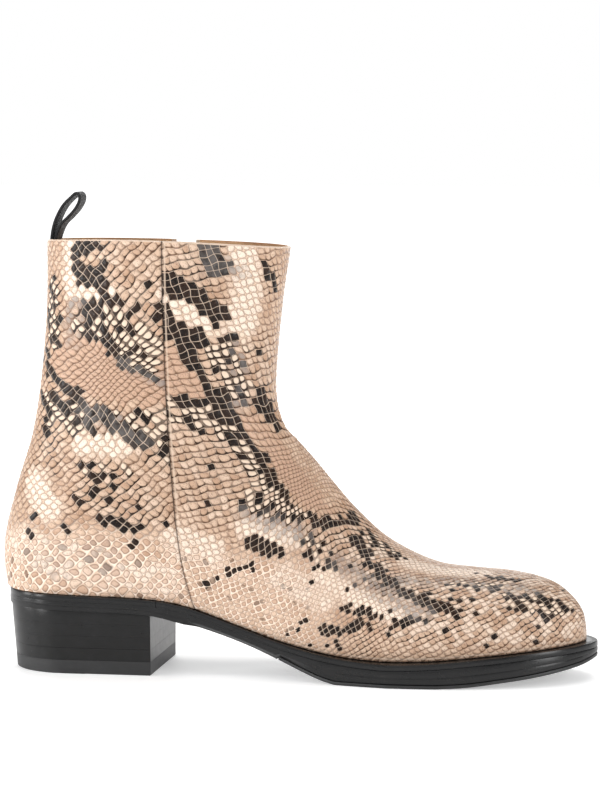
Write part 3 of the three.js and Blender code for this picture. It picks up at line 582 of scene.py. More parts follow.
def make_piece(name, points, faces, body, material, replaced=(), layers=None, angle=35, weld=1e-6):
    """A mesh object from design points, with its faces turned outwards, riding on a body."""
    mesh = bpy.data.meshes.new(name)
    mesh.from_pydata(metres(points).tolist(), [], faces)
    for title, values in (layers or {}).items():
        kind, field = ("FLOAT_VECTOR", "vector") if np.ndim(values) == 2 else ("FLOAT", "value")
        mesh.attributes.new(title, kind, "POINT").data.foreach_set(field, np.ravel(values).astype(np.float32))
    work = bmesh.new()
    work.from_mesh(mesh)
    bmesh.ops.remove_doubles(work, verts=work.verts, dist=weld)
    bmesh.ops.dissolve_degenerate(work, edges=work.edges, dist=weld)
    bmesh.ops.recalc_face_normals(work, faces=work.faces)
    work.to_mesh(mesh)
    work.free()
    mesh.shade_smooth()
    mesh.set_sharp_from_angle(angle=math.radians(angle))
    mesh.materials.append(material)
    piece = bpy.data.objects.new(name, mesh)
    bpy.context.scene.collection.objects.link(piece)
    if body:
        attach(piece, body)
    if replaced:
        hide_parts(*replaced)
    return piece


def ring_faces(rings, count, start=0):
    """Quads between neighbouring rings of count points each, numbered ring by ring."""
    faces = []
    for k in range(rings - 1):
        a = start + k * count + np.arange(count)
        after = start + k * count + (np.arange(count) + 1) % count
        faces += np.stack([a, after, after + count, a + count], -1).tolist()
    return faces


def grid_faces(rows, columns, start=0):
    """Quads of a grid of rows + 1 by columns + 1 points numbered row by row."""
    corner = (np.arange(rows)[:, None] * (columns + 1) + np.arange(columns)[None]).ravel() + start
    return np.stack([corner, corner + 1, corner + columns + 2, corner + columns + 1], -1).tolist()


def rim(rows, columns, closed_end):
    """Places (row, column) round a grid's open edge; a closed end is a fold with no edge."""
    down = [(i, columns) for i in range(rows + 1)]
    back = [] if closed_end else [(rows, j) for j in range(columns - 1, 0, -1)]
    up = [(i, 0) for i in range(rows, 0 if closed_end else -1, -1)]
    top = [(0, j) for j in range(0 if closed_end else 1, columns)]
    return down + back + up + top


def closed_sheet(points, normals, outer, thickness, stride, closed_end=False):
    """A closed skin: the points moved to the outer height, a rounded rim and a coarser inner face."""
    rows, columns = points.shape[0] - 1, points.shape[1] - 1
    skin = points + normals * outer[..., None]
    inner = points[::stride, ::stride] + normals[::stride, ::stride] * (
        outer.mean() - thickness[::stride, ::stride, None])
    inner_columns = columns // stride
    edge = rim(rows, columns, closed_end)
    outward = []
    for i, j in edge:
        side = points[i, j] - points[i, 1 if j == 0 else columns - 1] if j in (0, columns) else 0
        end = points[i, j] - points[1 if i == 0 else rows - 1, j]
        end = end if i == 0 or (i == rows and not closed_end) else 0
        step = np.asarray(side, float) + end
        outward.append(step / max(np.linalg.norm(step), 1e-9))
    outward = np.array(outward)
    row, column = np.array(edge).T
    base, up, depth = skin[row, column], normals[row, column], thickness[row, column, None]
    bulge = np.minimum(0.12, 0.3 * depth)
    rings = [base + outward * bulge - up * depth * 0.15, base + outward * bulge - up * depth * 0.85]
    count = len(edge)
    faces = grid_faces(rows, columns)
    total = skin.shape[0] * skin.shape[1]
    skin_id = row * (columns + 1) + column
    ring_id = [total + k * count + np.arange(count) for k in (0, 1)]
    after = np.roll(np.arange(count), -1)
    for a, b in ((skin_id, ring_id[0]), (ring_id[0], ring_id[1])):
        faces += np.stack([a, a[after], b[after], b], -1).tolist()
    inner_start = total + 2 * count
    faces += grid_faces(rows // stride, inner_columns, inner_start)
    low = ring_id[1]
    anchors = [k for k in range(count) if row[k] % stride == 0 and column[k] % stride == 0]
    for k, following in zip(anchors, anchors[1:] + [anchors[0] + count]):
        ids = [inner_start + (row[m % count] // stride) * (inner_columns + 1) + column[m % count] // stride
               for m in (k, following)]
        half = (k + following + 1) // 2
        for m in range(k, following):
            inner_id = ids[0] if m < half else ids[1]
            faces.append([int(inner_id), int(low[m % count]), int(low[(m + 1) % count])])
            if m + 1 == half:
                faces.append([int(ids[0]), int(low[(m + 1) % count]), int(ids[1])])
    everything = np.vstack([skin.reshape(-1, 3), *rings, inner.reshape(-1, 3)])
    source = np.concatenate([
        np.arange(total), skin_id, skin_id,
        (np.arange(0, rows + 1, stride)[:, None] * (columns + 1)
         + np.arange(0, columns + 1, stride)[None]).ravel()])
    return everything, faces, source


# ---- materials ----
def colour(red, green, blue):
    """A display colour from 0 to 255 as the shader's linear one."""
    linear = [v / 255 / 12.92 if v <= 10 else ((v / 255 + 0.055) / 1.055) ** 2.4
              for v in (red, green, blue)]
    return (*linear, 1.0)


class Paint:
    """A procedural material, with short ways to add and join its nodes."""

    def __init__(self, name, **constants):
        self.material = bpy.data.materials.new(name)
        self.material.use_nodes = True
        self.tree = self.material.node_tree
        self.shader = self.tree.nodes["Principled BSDF"]
        for title, value in constants.items():
            self.shader.inputs[title.replace("_", " ")].default_value = value

    def put(self, socket, value):
        if isinstance(value, bpy.types.NodeSocket):
            self.tree.links.new(value, socket)
        else:
            socket.default_value = value

    def node(self, kind, inputs, **settings):
        node = self.tree.nodes.new("ShaderNode" + kind)
        for title, value in settings.items():
            setattr(node, title, value)
        for title, value in inputs.items():
            self.put(node.inputs[title], value)
        return node

    def math(self, operation, *values):
        node = self.node("Math", {}, operation=operation)
        for socket, value in zip(node.inputs, values):
            self.put(socket, value)
        return node.outputs[0]

    def plus(self, first, second):
        return self.math("ADD", first, second)

    def minus(self, first, second):
        return self.math("SUBTRACT", first, second)

    def times(self, first, second):
        return self.math("MULTIPLY", first, second)

    def mix(self, share, first, second):
        return self.node("Mix", {0: share, 6: first, 7: second}, data_type="RGBA").outputs[2]

    def step(self, value, low, high, start=0.0, end=1.0):
        inputs = {"Value": value, "From Min": low, "From Max": high, "To Min": start, "To Max": end}
        return self.node("MapRange", inputs, interpolation_type="SMOOTHSTEP").outputs[0]

    def place(self, stretch=(1, 1, 1)):
        """Place on the object in millimetres, stretched along the axes."""
        spot = self.node("TexCoord", {}).outputs["Object"]
        scale = [1 / MM * v for v in stretch]
        return self.node("VectorMath", {0: spot, 1: scale}, operation="MULTIPLY").outputs[0]

    def noise(self, size, detail=2.0, vector=None, stretch=(1, 1, 1)):
        """Noise from 0 to 1 with features of about that many millimetres."""
        vector = self.place(stretch) if vector is None else vector
        inputs = {"Vector": vector, "Scale": 1 / size, "Detail": detail}
        return self.node("TexNoise", inputs).outputs[0]

    def oval(self, along, across):
        """Nought in the middle of a scale, about 0.7 where it meets its neighbours, more at its corners."""
        long_part = self.math("POWER", self.times(self.math("ABSOLUTE", along), 1.9), 1.5)
        tall_part = self.math("POWER", self.times(self.math("ABSOLUTE", across), 2.2), 1.5)
        return self.plus(long_part, tall_part)

    def layer(self, title):
        return self.node("Attribute", {}, attribute_name=title).outputs["Fac"]

    def bump(self, height, distance, normal=None):
        inputs = {"Height": height, "Distance": distance * MM, "Strength": 1.0}
        if normal is not None:
            inputs["Normal"] = normal
        return self.node("Bump", inputs).outputs[0]

    def finish(self, **inputs):
        for title, value in inputs.items():
            self.put(self.shader.inputs[title.replace("_", " ")], value)
        return self.material


CREAM = colour(212, 186, 164)
# Pale cream of the low ground, and of the painted highlights on the shaft.
PALE_CREAM = colour(230, 211, 194)
WHITE_CREAM = colour(220, 199, 178)
TAN = colour(184, 151, 126)
SADDLE_TAN = colour(190, 157, 134)
ROSE_TAN = colour(206, 172, 150)
WARM_BROWN = colour(158, 124, 98)
BROWN = colour(104, 76, 58)
DARK_BROWN = colour(38, 25, 18)
BLACK_BROWN = colour(17, 11, 9)
# Grey of grey patches and of the painted sheen on the scales.
GREY_AND_SHEEN = colour(126, 121, 118)
EDGE_CREAM = colour(200, 178, 158)


def snake_leather():
    p = Paint("snake_leather", Coat_Weight=0.05, Coat_Roughness=0.2, Specular_IOR_Level=0.13)
    cell = p.node("Attribute", {}, attribute_name="cell").outputs["Vector"]
    whole = p.node("VectorMath", {0: cell}, operation="FLOOR").outputs[0]
    inside = p.node("VectorMath", {0: cell}, operation="FRACTION").outputs[0]
    parts = p.node("SeparateXYZ", {0: inside})
    a = p.minus(parts.outputs[0], 0.5)
    b = p.minus(parts.outputs[1], 0.5)
    along = p.times(p.plus(a, b), 0.5)
    across = p.times(p.minus(a, b), 0.5)
    dark = p.step(p.layer("dark"), 0.38, 0.62)
    white = p.step(p.layer("white"), 0.38, 0.62)
    saddle = p.step(p.layer("saddle"), 0.3, 0.7)
    grey_and_sheen, gap, cream_and_highlight, low = p.layer("grey_and_sheen"), p.layer("gap"), p.layer("cream_and_highlight"), p.layer("low")

    # The scale proper is a lens inside its rhombus, drawn a little up and back from the middle.
    wobble = p.times(p.minus(p.noise(1.3, 1), 0.5), 0.16)
    pull = p.times(gap, 0.05)
    lens = p.oval(p.plus(along, pull), p.minus(across, pull))
    lens = p.plus(lens, wobble)
    border = p.minus(0.5, p.math("MAXIMUM", p.math("ABSOLUTE", a), p.math("ABSOLUTE", b)))
    roll = p.node("TexWhiteNoise", {"Vector": whole}, noise_dimensions="3D").outputs["Value"]

    mottle = p.noise(14, 3)
    speck = p.step(p.noise(0.7, 2), 0.56, 0.66)
    tint = p.plus(p.times(mottle, 0.9), p.times(roll, 0.35))
    scale = p.mix(p.step(tint, 0.35, 0.95), CREAM, TAN)
    scale = p.mix(p.times(gap, 0.4), scale, p.mix(roll, TAN, WARM_BROWN))
    # Cream patches and painted highlights make the scales paler.
    scale = p.mix(cream_and_highlight, scale, PALE_CREAM)
    scale = p.mix(saddle, scale, SADDLE_TAN)
    scale = p.mix(p.times(speck, 0.5), scale, BROWN)
    # Grey patches and painted sheen: a reflection painted as grey over the scales.
    grey_and_sheen_share = p.times(grey_and_sheen, p.step(p.plus(p.noise(4, 2), p.times(roll, 0.4)), 0.3, 0.9))
    scale = p.mix(p.times(grey_and_sheen_share, 0.75), scale, GREY_AND_SHEEN)
    scale = p.mix(p.times(low, p.step(roll, 0.1, 0.9, 0.1, 0.7)), scale, p.mix(mottle, ROSE_TAN, WARM_BROWN))
    # Painted shade: each scale turns darker brown towards its lower side, like a lit dome.
    shade_oval = p.oval(p.plus(along, 0.07), p.minus(across, 0.07))
    shade_depth = p.minus(0.72, p.times(p.math("MAXIMUM", cream_and_highlight, low), 0.55))
    scale = p.mix(p.times(p.step(shade_oval, 0.3, 0.95), shade_depth), scale, p.mix(0.4, WARM_BROWN, BROWN))
    scale = p.mix(p.times(white, 0.9), scale, WHITE_CREAM)

    ground = p.mix(p.step(gap, 0.0, 0.55), p.mix(0.3, CREAM, TAN), BROWN)
    ground = p.mix(p.step(gap, 0.6, 1.0), ground, DARK_BROWN)
    # Paler ground under the cream patches and painted highlights.
    ground = p.mix(p.times(cream_and_highlight, 0.75), ground, CREAM)
    ground = p.mix(low, ground, PALE_CREAM)
    # Painted light and shade: the ground between scales is paler on each scale's upper side, darker below.
    shade_direction = p.minus(p.times(along, 0.5), p.times(across, 1.6))
    lit_side = p.times(p.step(shade_direction, 0.1, -0.25), p.minus(0.85, p.times(white, 0.6)))
    ground = p.mix(lit_side, ground, p.mix(0.4, CREAM, TAN))
    size = p.minus(0.7, p.times(gap, 0.1))
    size = p.minus(size, p.times(white, 0.15))
    size = p.minus(size, p.times(low, p.times(roll, 0.3)))
    size = p.plus(size, p.times(saddle, 0.06))
    off = p.minus(lens, size)
    skin = p.mix(p.step(off, -0.06, 0.06), scale, ground)
    ring = p.times(p.step(off, -0.22, -0.04), p.step(off, 0.12, 0.0))
    ring = p.times(ring, p.minus(0.6, p.times(gap, 0.45)))
    skin = p.mix(ring, skin, BROWN)

    shade = p.plus(p.times(roll, 0.6), p.times(p.noise(5, 2), 0.6))
    night = p.mix(p.step(shade, 0.3, 0.9), BLACK_BROWN, DARK_BROWN)
    night = p.mix(p.times(speck, 0.25), night, BROWN)
    # The same grey patches and painted sheen over the dark scales.
    night = p.mix(p.times(grey_and_sheen_share, 0.45), night, GREY_AND_SHEEN)
    round_dark = p.step(lens, 0.74, 0.58)
    full_dark = p.mix(low, (1, 1, 1, 1), round_dark)
    skin = p.mix(p.times(dark, full_dark), skin, night)
    line = p.minus(1.0, p.step(border, 0.02, 0.065))
    line_share = p.times(line, p.plus(0.05, p.times(dark, 0.65)))
    skin = p.mix(line_share, skin, EDGE_CREAM)
    skin = p.mix(p.step(p.layer("rim"), 0.25, 0.75), skin, EDGE_CREAM)
    # Painted shade along the seam's valley, where the front panel's edge dips in.
    skin = p.mix(p.times(p.layer("seam_shade"), 0.75), skin, DARK_BROWN)

    dome = p.minus(1.0, p.step(off, -0.45, 0.1))
    grain = p.times(p.noise(0.35, 2), 0.12)
    gloss = p.plus(0.2, p.times(p.noise(3, 2), 0.16))
    return p.finish(Base_Color=skin, Roughness=gloss, Normal=p.bump(p.plus(dome, grain), 0.3))


def grained_leather(name, base, worn, rough=0.55, pore=0.8, depth=0.1, **constants):
    p = Paint(name, **constants)
    share = p.step(p.plus(p.noise(18, 3), p.times(p.noise(2.2, 3), 0.35)), 0.45, 0.9)
    cells = p.node("TexVoronoi", {"Vector": p.place(), "Scale": 1 / pore}, feature="DISTANCE_TO_EDGE")
    pores = p.step(cells.outputs["Distance"], 0.0, 0.12)
    surface = p.mix(share, base, worn)
    surface = p.mix(p.times(p.minus(1.0, pores), 0.25), surface, BLACK_BROWN)
    height = p.plus(pores, p.times(p.noise(0.5, 2), 0.3))
    rough_socket = p.plus(rough - 0.08, p.times(p.noise(6, 2), 0.16))
    return p.finish(Base_Color=surface, Roughness=rough_socket, Normal=p.bump(height, depth))


def polished_edge(name, base, worn, rough, stretch=(1, 1, 1), streak=0.05, **constants):
    """Waxed or moulded black: faint streaks, dust and small scuffs."""
    p = Paint(name, **constants)
    streaks = p.noise(2.4, 4, stretch=stretch)
    clouds = p.noise(16, 2)
    scuff = p.times(p.step(p.noise(1.6, 4), 0.66, 0.78), p.step(clouds, 0.5, 0.75))
    share = p.plus(p.times(clouds, 0.4), p.times(streaks, 0.45))
    surface = p.mix(p.step(share, 0.3, 0.65), base, worn)
    surface = p.mix(p.times(scuff, 0.35), surface, colour(120, 118, 116))
    gloss = p.plus(rough, p.times(p.plus(streaks, scuff), 0.12))
    height = p.plus(streaks, p.times(p.noise(0.5, 2), 0.3))
    return p.finish(Base_Color=surface, Roughness=gloss, Normal=p.bump(height, streak))


def woven(name, dark_thread, light_thread, pitch, rough=0.75):
    """A plain weave in the piece's own length and width layers (millimetres)."""
    p = Paint(name, Sheen_Weight=0.04, Sheen_Roughness=0.5, Specular_IOR_Level=0.3)
    spot = p.node("SeparateXYZ", {0: p.node("Attribute", {}, attribute_name="weave").outputs["Vector"]})
    warp = p.math("SINE", p.times(spot.outputs[0], 2 * math.pi / pitch))
    weft = p.math("SINE", p.times(spot.outputs[1], 2 * math.pi / pitch))
    lattice_height = p.times(warp, weft)
    share = p.step(p.plus(lattice_height, p.noise(1.5, 3)), -0.4, 1.6)
    surface = p.mix(share, dark_thread, light_thread)
    fuzz = p.plus(p.times(lattice_height, 0.5), p.times(p.noise(0.3, 2), 0.4))
    return p.finish(Base_Color=surface, Roughness=p.plus(rough, p.times(share, 0.1)),
                    Normal=p.bump(fuzz, 0.12))


def metal(name, base, rough):
    p = Paint(name, Metallic=1.0)
    wear = p.noise(2.5, 4)
    surface = p.mix(p.step(wear, 0.4, 0.7), base, colour(168, 164, 158))
    gloss = p.plus(rough, p.times(p.noise(0.8, 3, stretch=(1, 1, 0.2)), 0.2))
    return p.finish(Base_Color=surface, Roughness=gloss, Normal=p.bump(p.noise(0.4, 3), 0.02))


def fibrous(name, base, fleck, size, stretch=(1, 1, 1)):
    """Board, cork or felt: clumps of a second colour and a rough face."""
    p = Paint(name, Specular_IOR_Level=0.25)
    clumps = p.step(p.noise(size, 4, stretch=stretch), 0.42, 0.62)
    fine = p.noise(size * 0.3, 3)
    surface = p.mix(p.times(clumps, 0.7), base, fleck)
    height = p.plus(clumps, fine)
    return p.finish(Base_Color=surface, Roughness=p.plus(0.78, p.times(fine, 0.15)),
                    Normal=p.bump(height, 0.15))


SNAKE = snake_leather()
LINING = grained_leather("tan_lining", colour(176, 132, 92), colour(196, 154, 112), rough=0.6)
PAD_LEATHER = grained_leather("heel_pad_leather", colour(168, 124, 86), colour(190, 148, 106),
                              rough=0.62, pore=1.1)
BLACK_EDGE = polished_edge("black_edge", colour(9, 9, 10), colour(18, 18, 19), 0.22, (0.2, 0.2, 0.6), 0.008,
                           Specular_IOR_Level=0.34)
BREAST_BLACK = polished_edge("heel_black", colour(9, 9, 9), colour(18, 18, 19), 0.24, (0.6, 0.6, 0.6), 0.01,
                             Specular_IOR_Level=0.3)
RUBBER = polished_edge("black_rubber", colour(18, 18, 19), colour(30, 30, 31), 0.42, (0.5, 0.5, 0.5), 0.02)
STRAP = woven("strap_weave", colour(7, 7, 8), colour(22, 22, 24), 0.9, 0.5)
TAPE = woven("zip_tape_weave", colour(20, 20, 22), colour(50, 50, 52), 0.8, 0.8)
ZIP_METAL = metal("zip_metal", colour(120, 118, 114), 0.28)
THREAD = fibrous("tan_thread", colour(206, 178, 150), colour(170, 138, 110), 0.5)
BOARD = fibrous("board", colour(160, 132, 98), colour(116, 92, 66), 1.2)
CORK = fibrous("cork", colour(170, 128, 82), colour(98, 66, 40), 2.0)
SEAM_TAPE = fibrous("seam_tape", colour(206, 196, 178), colour(170, 160, 142), 0.7, (1, 1, 0.2))
STEEL = metal("nail_steel", colour(132, 134, 138), 0.32)


# ---- upper ----
TOP_RIM = 1.5                 # depth of the lining's face at the top line
TOP_LINE = 222                # height of the top line at the back
# Extra room under the leather for the toe puff, the side seam's tape, the heel counter and the zip.
PUFF_ROOM, SEAM_ROOM, COUNTER_ROOM, ZIP_ROOM = 1.5, 1.3, 1.9, 2.9
STRAP_ROOM = LEATHER + 3.9    # depth of the lining behind the strap's two ends
LINING_THICK = 1.1


def leather_panel(name, s, b, front, replaced):
    points = form(s, b)
    normals = grid_normals(points, (1, 0, 0) if front else None)
    cells = lattice(s, b, front)
    seam_run = running_length(points, axis=1)
    zip_side = seam_run[:, -1:] - seam_run
    top = running_length(points, axis=0)
    edge = np.minimum(np.minimum(seam_run, zip_side), top)
    fade = smooth(0.6, 3, edge)
    tuck = 0.45 * (1 - smooth(0, 1.3, seam_run)) * smooth(38, 44, points[..., 2])
    outer = relief(cells, fade) - (tuck if front else 0.25 * tuck)
    dark, grey_and_sheen, white, saddle, gap, cream_and_highlight, low = markings(s, b, cells, front)
    # Painted shade along the seam, strongest on the front panel whose edge dips in.
    seam_shade = (1 - smooth(0.2, 1.1, seam_run)) * (1.0 if front else 0.35)
    lip = 1 - smooth(0.2, 1.0, top)
    ridge = (1 - smooth(0.3, 1.0, np.abs(seam_run - 1.6))) * (0.55 if front else 0)
    thickness = np.full(s.shape, LEATHER)
    everything, faces, source = closed_sheet(points, normals, outer, thickness, COARSE, front)
    layers = {"cell": np.concatenate([cells, np.zeros_like(cells[..., :1])], -1).reshape(-1, 3)[source]}
    fields = {"dark": dark, "grey_and_sheen": grey_and_sheen, "white": white, "saddle": saddle, "gap": gap, "cream_and_highlight": cream_and_highlight,
              "low": low, "seam_shade": seam_shade, "rim": np.maximum(lip, ridge)}
    layers.update({title: field.ravel()[source] for title, field in fields.items()})
    make_piece(name, everything, faces, "boot", SNAKE, replaced, layers, angle=50)
    return points + normals * outer[..., None], normals


def lining_depth(points, inner):
    """Depth of the lining's outer face under the leather's, eased between the CAD's zones."""
    x, z = points[..., 0], points[..., 2]
    over_puff = smooth(222, 236, x)
    over_seam = (1 - smooth(20, 30, np.abs(x - side_seam_x(z)))) * ~inner
    over_counter = smooth(-12, 0, 120 - 0.45 * x - z) * (1 - smooth(98, 110, x))
    over_zip = (1 - smooth(26, 38, np.abs(x - zip_x(z)))) * smooth(38, 50, z) * inner
    zones = ((PUFF_ROOM, over_puff), (SEAM_ROOM, over_seam), (COUNTER_ROOM, over_counter),
             (ZIP_ROOM, over_zip))
    depth = LEATHER + GAP + np.max([room * share for room, share in zones], axis=0)
    under_strap = (1 - smooth(6.5, 10, np.abs(points[..., 1]))) * (1 - smooth(40, 50, x))
    under_strap = under_strap * smooth(190, 197, z)
    eased = TOP_RIM + (depth - TOP_RIM) * smooth(0, 14, TOP_LINE - z)
    return eased + (np.maximum(STRAP_ROOM, eased) - eased) * under_strap


def lining_panel(name, s, b, front, replaced):
    points = form(s, b)
    normals = grid_normals(points, (1, 0, 0) if front else None)
    depth = lining_depth(points, b > 0)
    skin = points - normals * depth[..., None]
    low = skin[..., 2] < feather(skin[..., 0]) + LEATHER + GAP
    skin[..., 2] = np.where(low, feather(skin[..., 0]) + LEATHER + GAP, skin[..., 2])
    thickness = np.full(s.shape, LINING_THICK)
    everything, faces, _ = closed_sheet(skin, normals, np.zeros(s.shape), thickness, 1, front)
    make_piece(name, everything, faces, "boot", LINING, replaced, angle=50)


def stitch_row(name, surface, normals, spacing=3.1, length=2.3, radius=0.28):
    """Thread lying along a line of surface points, dipping into a hole between stitches."""
    run = running_length(surface)
    middles = np.arange(spacing / 2, run[-1] - spacing / 2, spacing)
    turns = np.linspace(0, 2 * np.pi, 7)[:-1]
    rings = np.array([-1, -0.75, -0.3, 0.3, 0.75, 1])
    points, faces = [], []
    for middle in middles:
        at = middle + rings * length / 2
        centre = np.stack([np.interp(at, run, surface[:, k]) for k in range(3)], -1)
        up = np.stack([np.interp(middle, run, normals[:, k]) for k in range(3)], -1)
        along = centre[-1] - centre[0]
        along /= np.linalg.norm(along)
        side = np.cross(up, along)
        size = radius * np.sqrt(np.maximum(1 - rings**6, 0.02))
        lift = (1 - rings**4) * radius * 0.9 - radius * 0.4
        start = len(points)
        for k in range(len(rings)):
            spot = centre[k] + up * lift[k]
            points += [spot + size[k] * (np.cos(t) * side + np.sin(t) * up) for t in turns]
        count = len(turns)
        faces += ring_faces(len(rings), count, start)
        faces.append([start + m for m in range(count)])
        faces.append([start + (len(rings) - 1) * count + m for m in reversed(range(count))])
    make_piece(name, points, faces, "boot", THREAD, angle=60)


ZIP_STITCH = 3.4              # distance of the zip's topstitching from the slot
STITCH_LOW, STITCH_HIGH = 64, 221
LINING_SLOT = 8.0             # half width of the zip slot in the lining


def upper():
    for name, front, grid in (("front", True, front_grid), ("back", False, back_grid)):
        rows = PANEL_ROWS if front else PANEL_ROWS * 5 // 9
        s, b = grid(rows, PANEL_COLUMNS)
        skin, normals = leather_panel(f"{name}_leather", s, b, front, [f"{name}_panel"])
        steps = running_length(skin[rows // 4], 0)
        column = int(np.searchsorted(steps, steps[-1] - ZIP_STITCH))
        line = skin[:, column]
        keep = (line[:, 2] > STITCH_LOW) & (line[:, 2] < STITCH_HIGH)
        stitch_row(f"{name}_zip_stitching", line[keep], normals[keep, column])
        s, b = grid(90 if front else 60, 72, LINING_SLOT)
        lining_panel(f"{name}_lining_skin", s, b, front, [f"{name}_lining"])


def heel_pad():
    """A thin foam pad under leather, crowned in the middle."""
    half_x, half_y, middle_x, middle_y = 40.5, 24.5, 46.8, -1.2
    base, edge, crown = 7.15, 0.7, 2.6
    turns = np.linspace(0, 2 * np.pi, 97)[:-1]
    shares = np.sin(np.linspace(0.04, 1, 20) * np.pi / 2)
    x_unit = np.sign(np.cos(turns)) * np.abs(np.cos(turns)) ** 0.72
    y_unit = np.sign(np.sin(turns)) * np.abs(np.sin(turns)) ** 0.8
    rings = []
    for share in shares:
        x, y = middle_x + half_x * share * x_unit, middle_y + half_y * share * y_unit
        rings.append(np.stack([x, y, feather(x) + base + edge + crown * (1 - share**2.6) * 0.75], -1))
    for inset, level in ((0.0, edge * 0.5), (0.4, 0.0)):
        x, y = middle_x + (half_x - inset) * x_unit, middle_y + (half_y - inset) * y_unit
        rings.append(np.stack([x, y, feather(x) + base + level], -1))
    count = len(turns)
    points = np.vstack(rings)
    faces = ring_faces(len(rings), count)
    faces.append(list(range(count)))
    faces.append(list(range((len(rings) - 1) * count, len(rings) * count)))
    pad = make_piece("heel_cushion", points, faces, "boot", PAD_LEATHER, ["heel_pad"])


# ---- sole and heel ----
SOLE_HALF = [(0, 33, 33), (33, 33, 33), (80, 32.5, 31), (125, 33.5, 25.5), (165, 40, 36), (205, 47, 51.5)]
TOE_START = 205
SOLE_TIP = 308
TOE_ROUND_START = 230
SOLE_CENTRE = 4
WAIST = [(0, 34.1), (40, 32.8), (80, 31.4), (96, 28), (117, 22), (137, 15), (158, 6.5), (170, 2), (178, 0)]
TOE_SPRING = [(230, 0), (245, 0.8), (260, 2.5), (280, 5), (300, 8.6), (308, 11.2)]
WELT = 3.1
WELT_X = 84
RUBBER_X = 148
RUBBER_THICK = 1.9
MARGIN = 17
HEEL_RAKE = 3.5
HEEL_TOP = 42
BREAST_X = 81
LIFT_TOPS = [7.2, 13.6, 19.9, 26.2]
HEEL_TAPER = 1.5              # how much narrower each side of the heel is at the floor
CURVED_LENGTH, CURVED_POINTS = 0.42, 0.6    # shares of a heel ring's length and points that round the back


def underside(x):
    """Height of the sole's lower face: the waist's slope, flat at the ball, then the toe's rise."""
    rise = spline(WAIST, x)[..., 0]
    spring = spline(TOE_SPRING, x)[..., 0]
    return np.where(x <= WAIST[-1][0], rise, np.where(x < TOE_SPRING[0][0], 0, spring))


def sole_point(x, side, inset):
    """Plan point of the sole's outline drawn in by inset; x is the place on the full outline."""
    x = np.asarray(x, float)
    at = np.where(x < HEEL_ROUND, inset + (HEEL_ROUND - inset) * x / HEEL_ROUND, x)
    toe = SOLE_TIP - TOE_ROUND_START
    at = np.where(x > TOE_ROUND_START, TOE_ROUND_START + (x - TOE_ROUND_START) * (toe - inset) / toe, at)
    half = pick(spline(SOLE_HALF, np.minimum(at, TOE_START)), side) - inset
    y = np.where(side, 1, -1) * half * heel_round((HEEL_ROUND - at) / (HEEL_ROUND - inset))
    tip = SOLE_TIP - inset
    bend = SOLE_CENTRE + (y - SOLE_CENTRE) * toe_round((at - TOE_START) / (tip - TOE_START))
    return at, np.where(at > TOE_START, bend, y)


def stations(low, high, count):
    """Places along the sole, even along the outline: closer together where it rounds the ends."""
    fine = np.unique(np.concatenate([
        HEEL_ROUND * (1 - np.cos(np.linspace(0, np.pi / 2, 400))),
        np.linspace(HEEL_ROUND, TOE_ROUND_START, 800),
        TOE_ROUND_START + (SOLE_TIP - TOE_ROUND_START) * np.sin(np.linspace(0, np.pi / 2, 800))]))
    fine = np.unique(np.clip(fine, low, high))
    at, y = sole_point(fine, False, 0)
    return even(fine, running_length(np.stack([at, y], -1)), count)


def sole_loop(low, high, count):
    """Stations out along the outer side and back along the inner side, and which side each is on."""
    x = stations(low, high, count)
    return np.concatenate([x, x[::-1]]), np.repeat([False, True], count + 1)


def lofted(name, rings, body, material, replaced, angle=35):
    """A solid through rings that share a loop of two mirrored halves; its ends are strips across."""
    rings = [np.asarray(ring) for ring in rings]
    count = len(rings[0])
    faces = ring_faces(len(rings), count)
    for start in (0, (len(rings) - 1) * count):
        for m in range(count // 2 - 1):
            faces.append([start + m, start + m + 1, start + count - 2 - m, start + count - 1 - m])
    return make_piece(name, np.vstack(rings), faces, body, material, replaced, angle=angle)


def swept(name, x, side, profile, body, material, replaced, angle=35):
    """A bar along the sole's outline; profile lists (inset, height above the edge line) round it,
    where either may change along the way."""
    columns = []
    for inset, height in profile:
        at, y = sole_point(x, side, inset)
        columns.append(np.stack([at, y, feather(at) + height], -1))
    rings = np.stack(columns, 1)
    total, count = rings.shape[:2]
    faces = ring_faces(total, count)
    faces += [list(range(count)), list(range((total - 1) * count, total * count))]
    return make_piece(name, rings.reshape(-1, 3), faces, body, material, replaced, angle=angle)


NOTCH_PITCH = 1.6
NOTCH_DEPTH = 0.3
NOTCH_FROM = 150


def edge_softness(x):
    """Radius of the sole's worn edges: nearly sharp at the heel, rounder from the waist forwards."""
    return 0.05 + 0.25 * smooth(130, 180, x)


def welt_and_rand():
    for name, low, high, count, node in (("welt_strip", WELT_X + GAP / 2, SOLE_TIP, 640, "welt"),
                                         ("heel_rand_strip", 0, WELT_X - GAP / 2, 110, "heel_rand")):
        x = stations(low, high, count)
        if node == "welt":
            x, side = np.concatenate([x, x[::-1]]), np.repeat([False, True], count + 1)
        else:
            x, side = np.concatenate([x[::-1], x]), np.repeat([False, True], count + 1)
        at, y = sole_point(x, side, 0)
        run = running_length(np.stack([at, y], -1))
        wave = np.abs(np.sin(np.pi * run / NOTCH_PITCH)) ** 0.6
        notch = NOTCH_DEPTH * (1 - wave) * smooth(NOTCH_FROM, NOTCH_FROM + 20, x)
        top, bottom = -GAP, -GAP - WELT
        soft = edge_softness(x)
        profile = [(0.5, top - notch * 0.6), (2.2, top - notch), (3.4, top - notch * 0.3), (MARGIN, top),
                   (MARGIN, bottom), (soft, bottom), (soft * 0.3, bottom + soft * 0.4), (0, bottom + soft),
                   (-0.05, (top + bottom) / 2), (0, top - 0.55), (0.14, top - 0.16 - notch * 0.3)]
        swept(name, x, side, profile, "boot", BLACK_EDGE, [node])


WAIST_BEVEL = 5
JOINT = 0.02                  # hairline between pressed layers


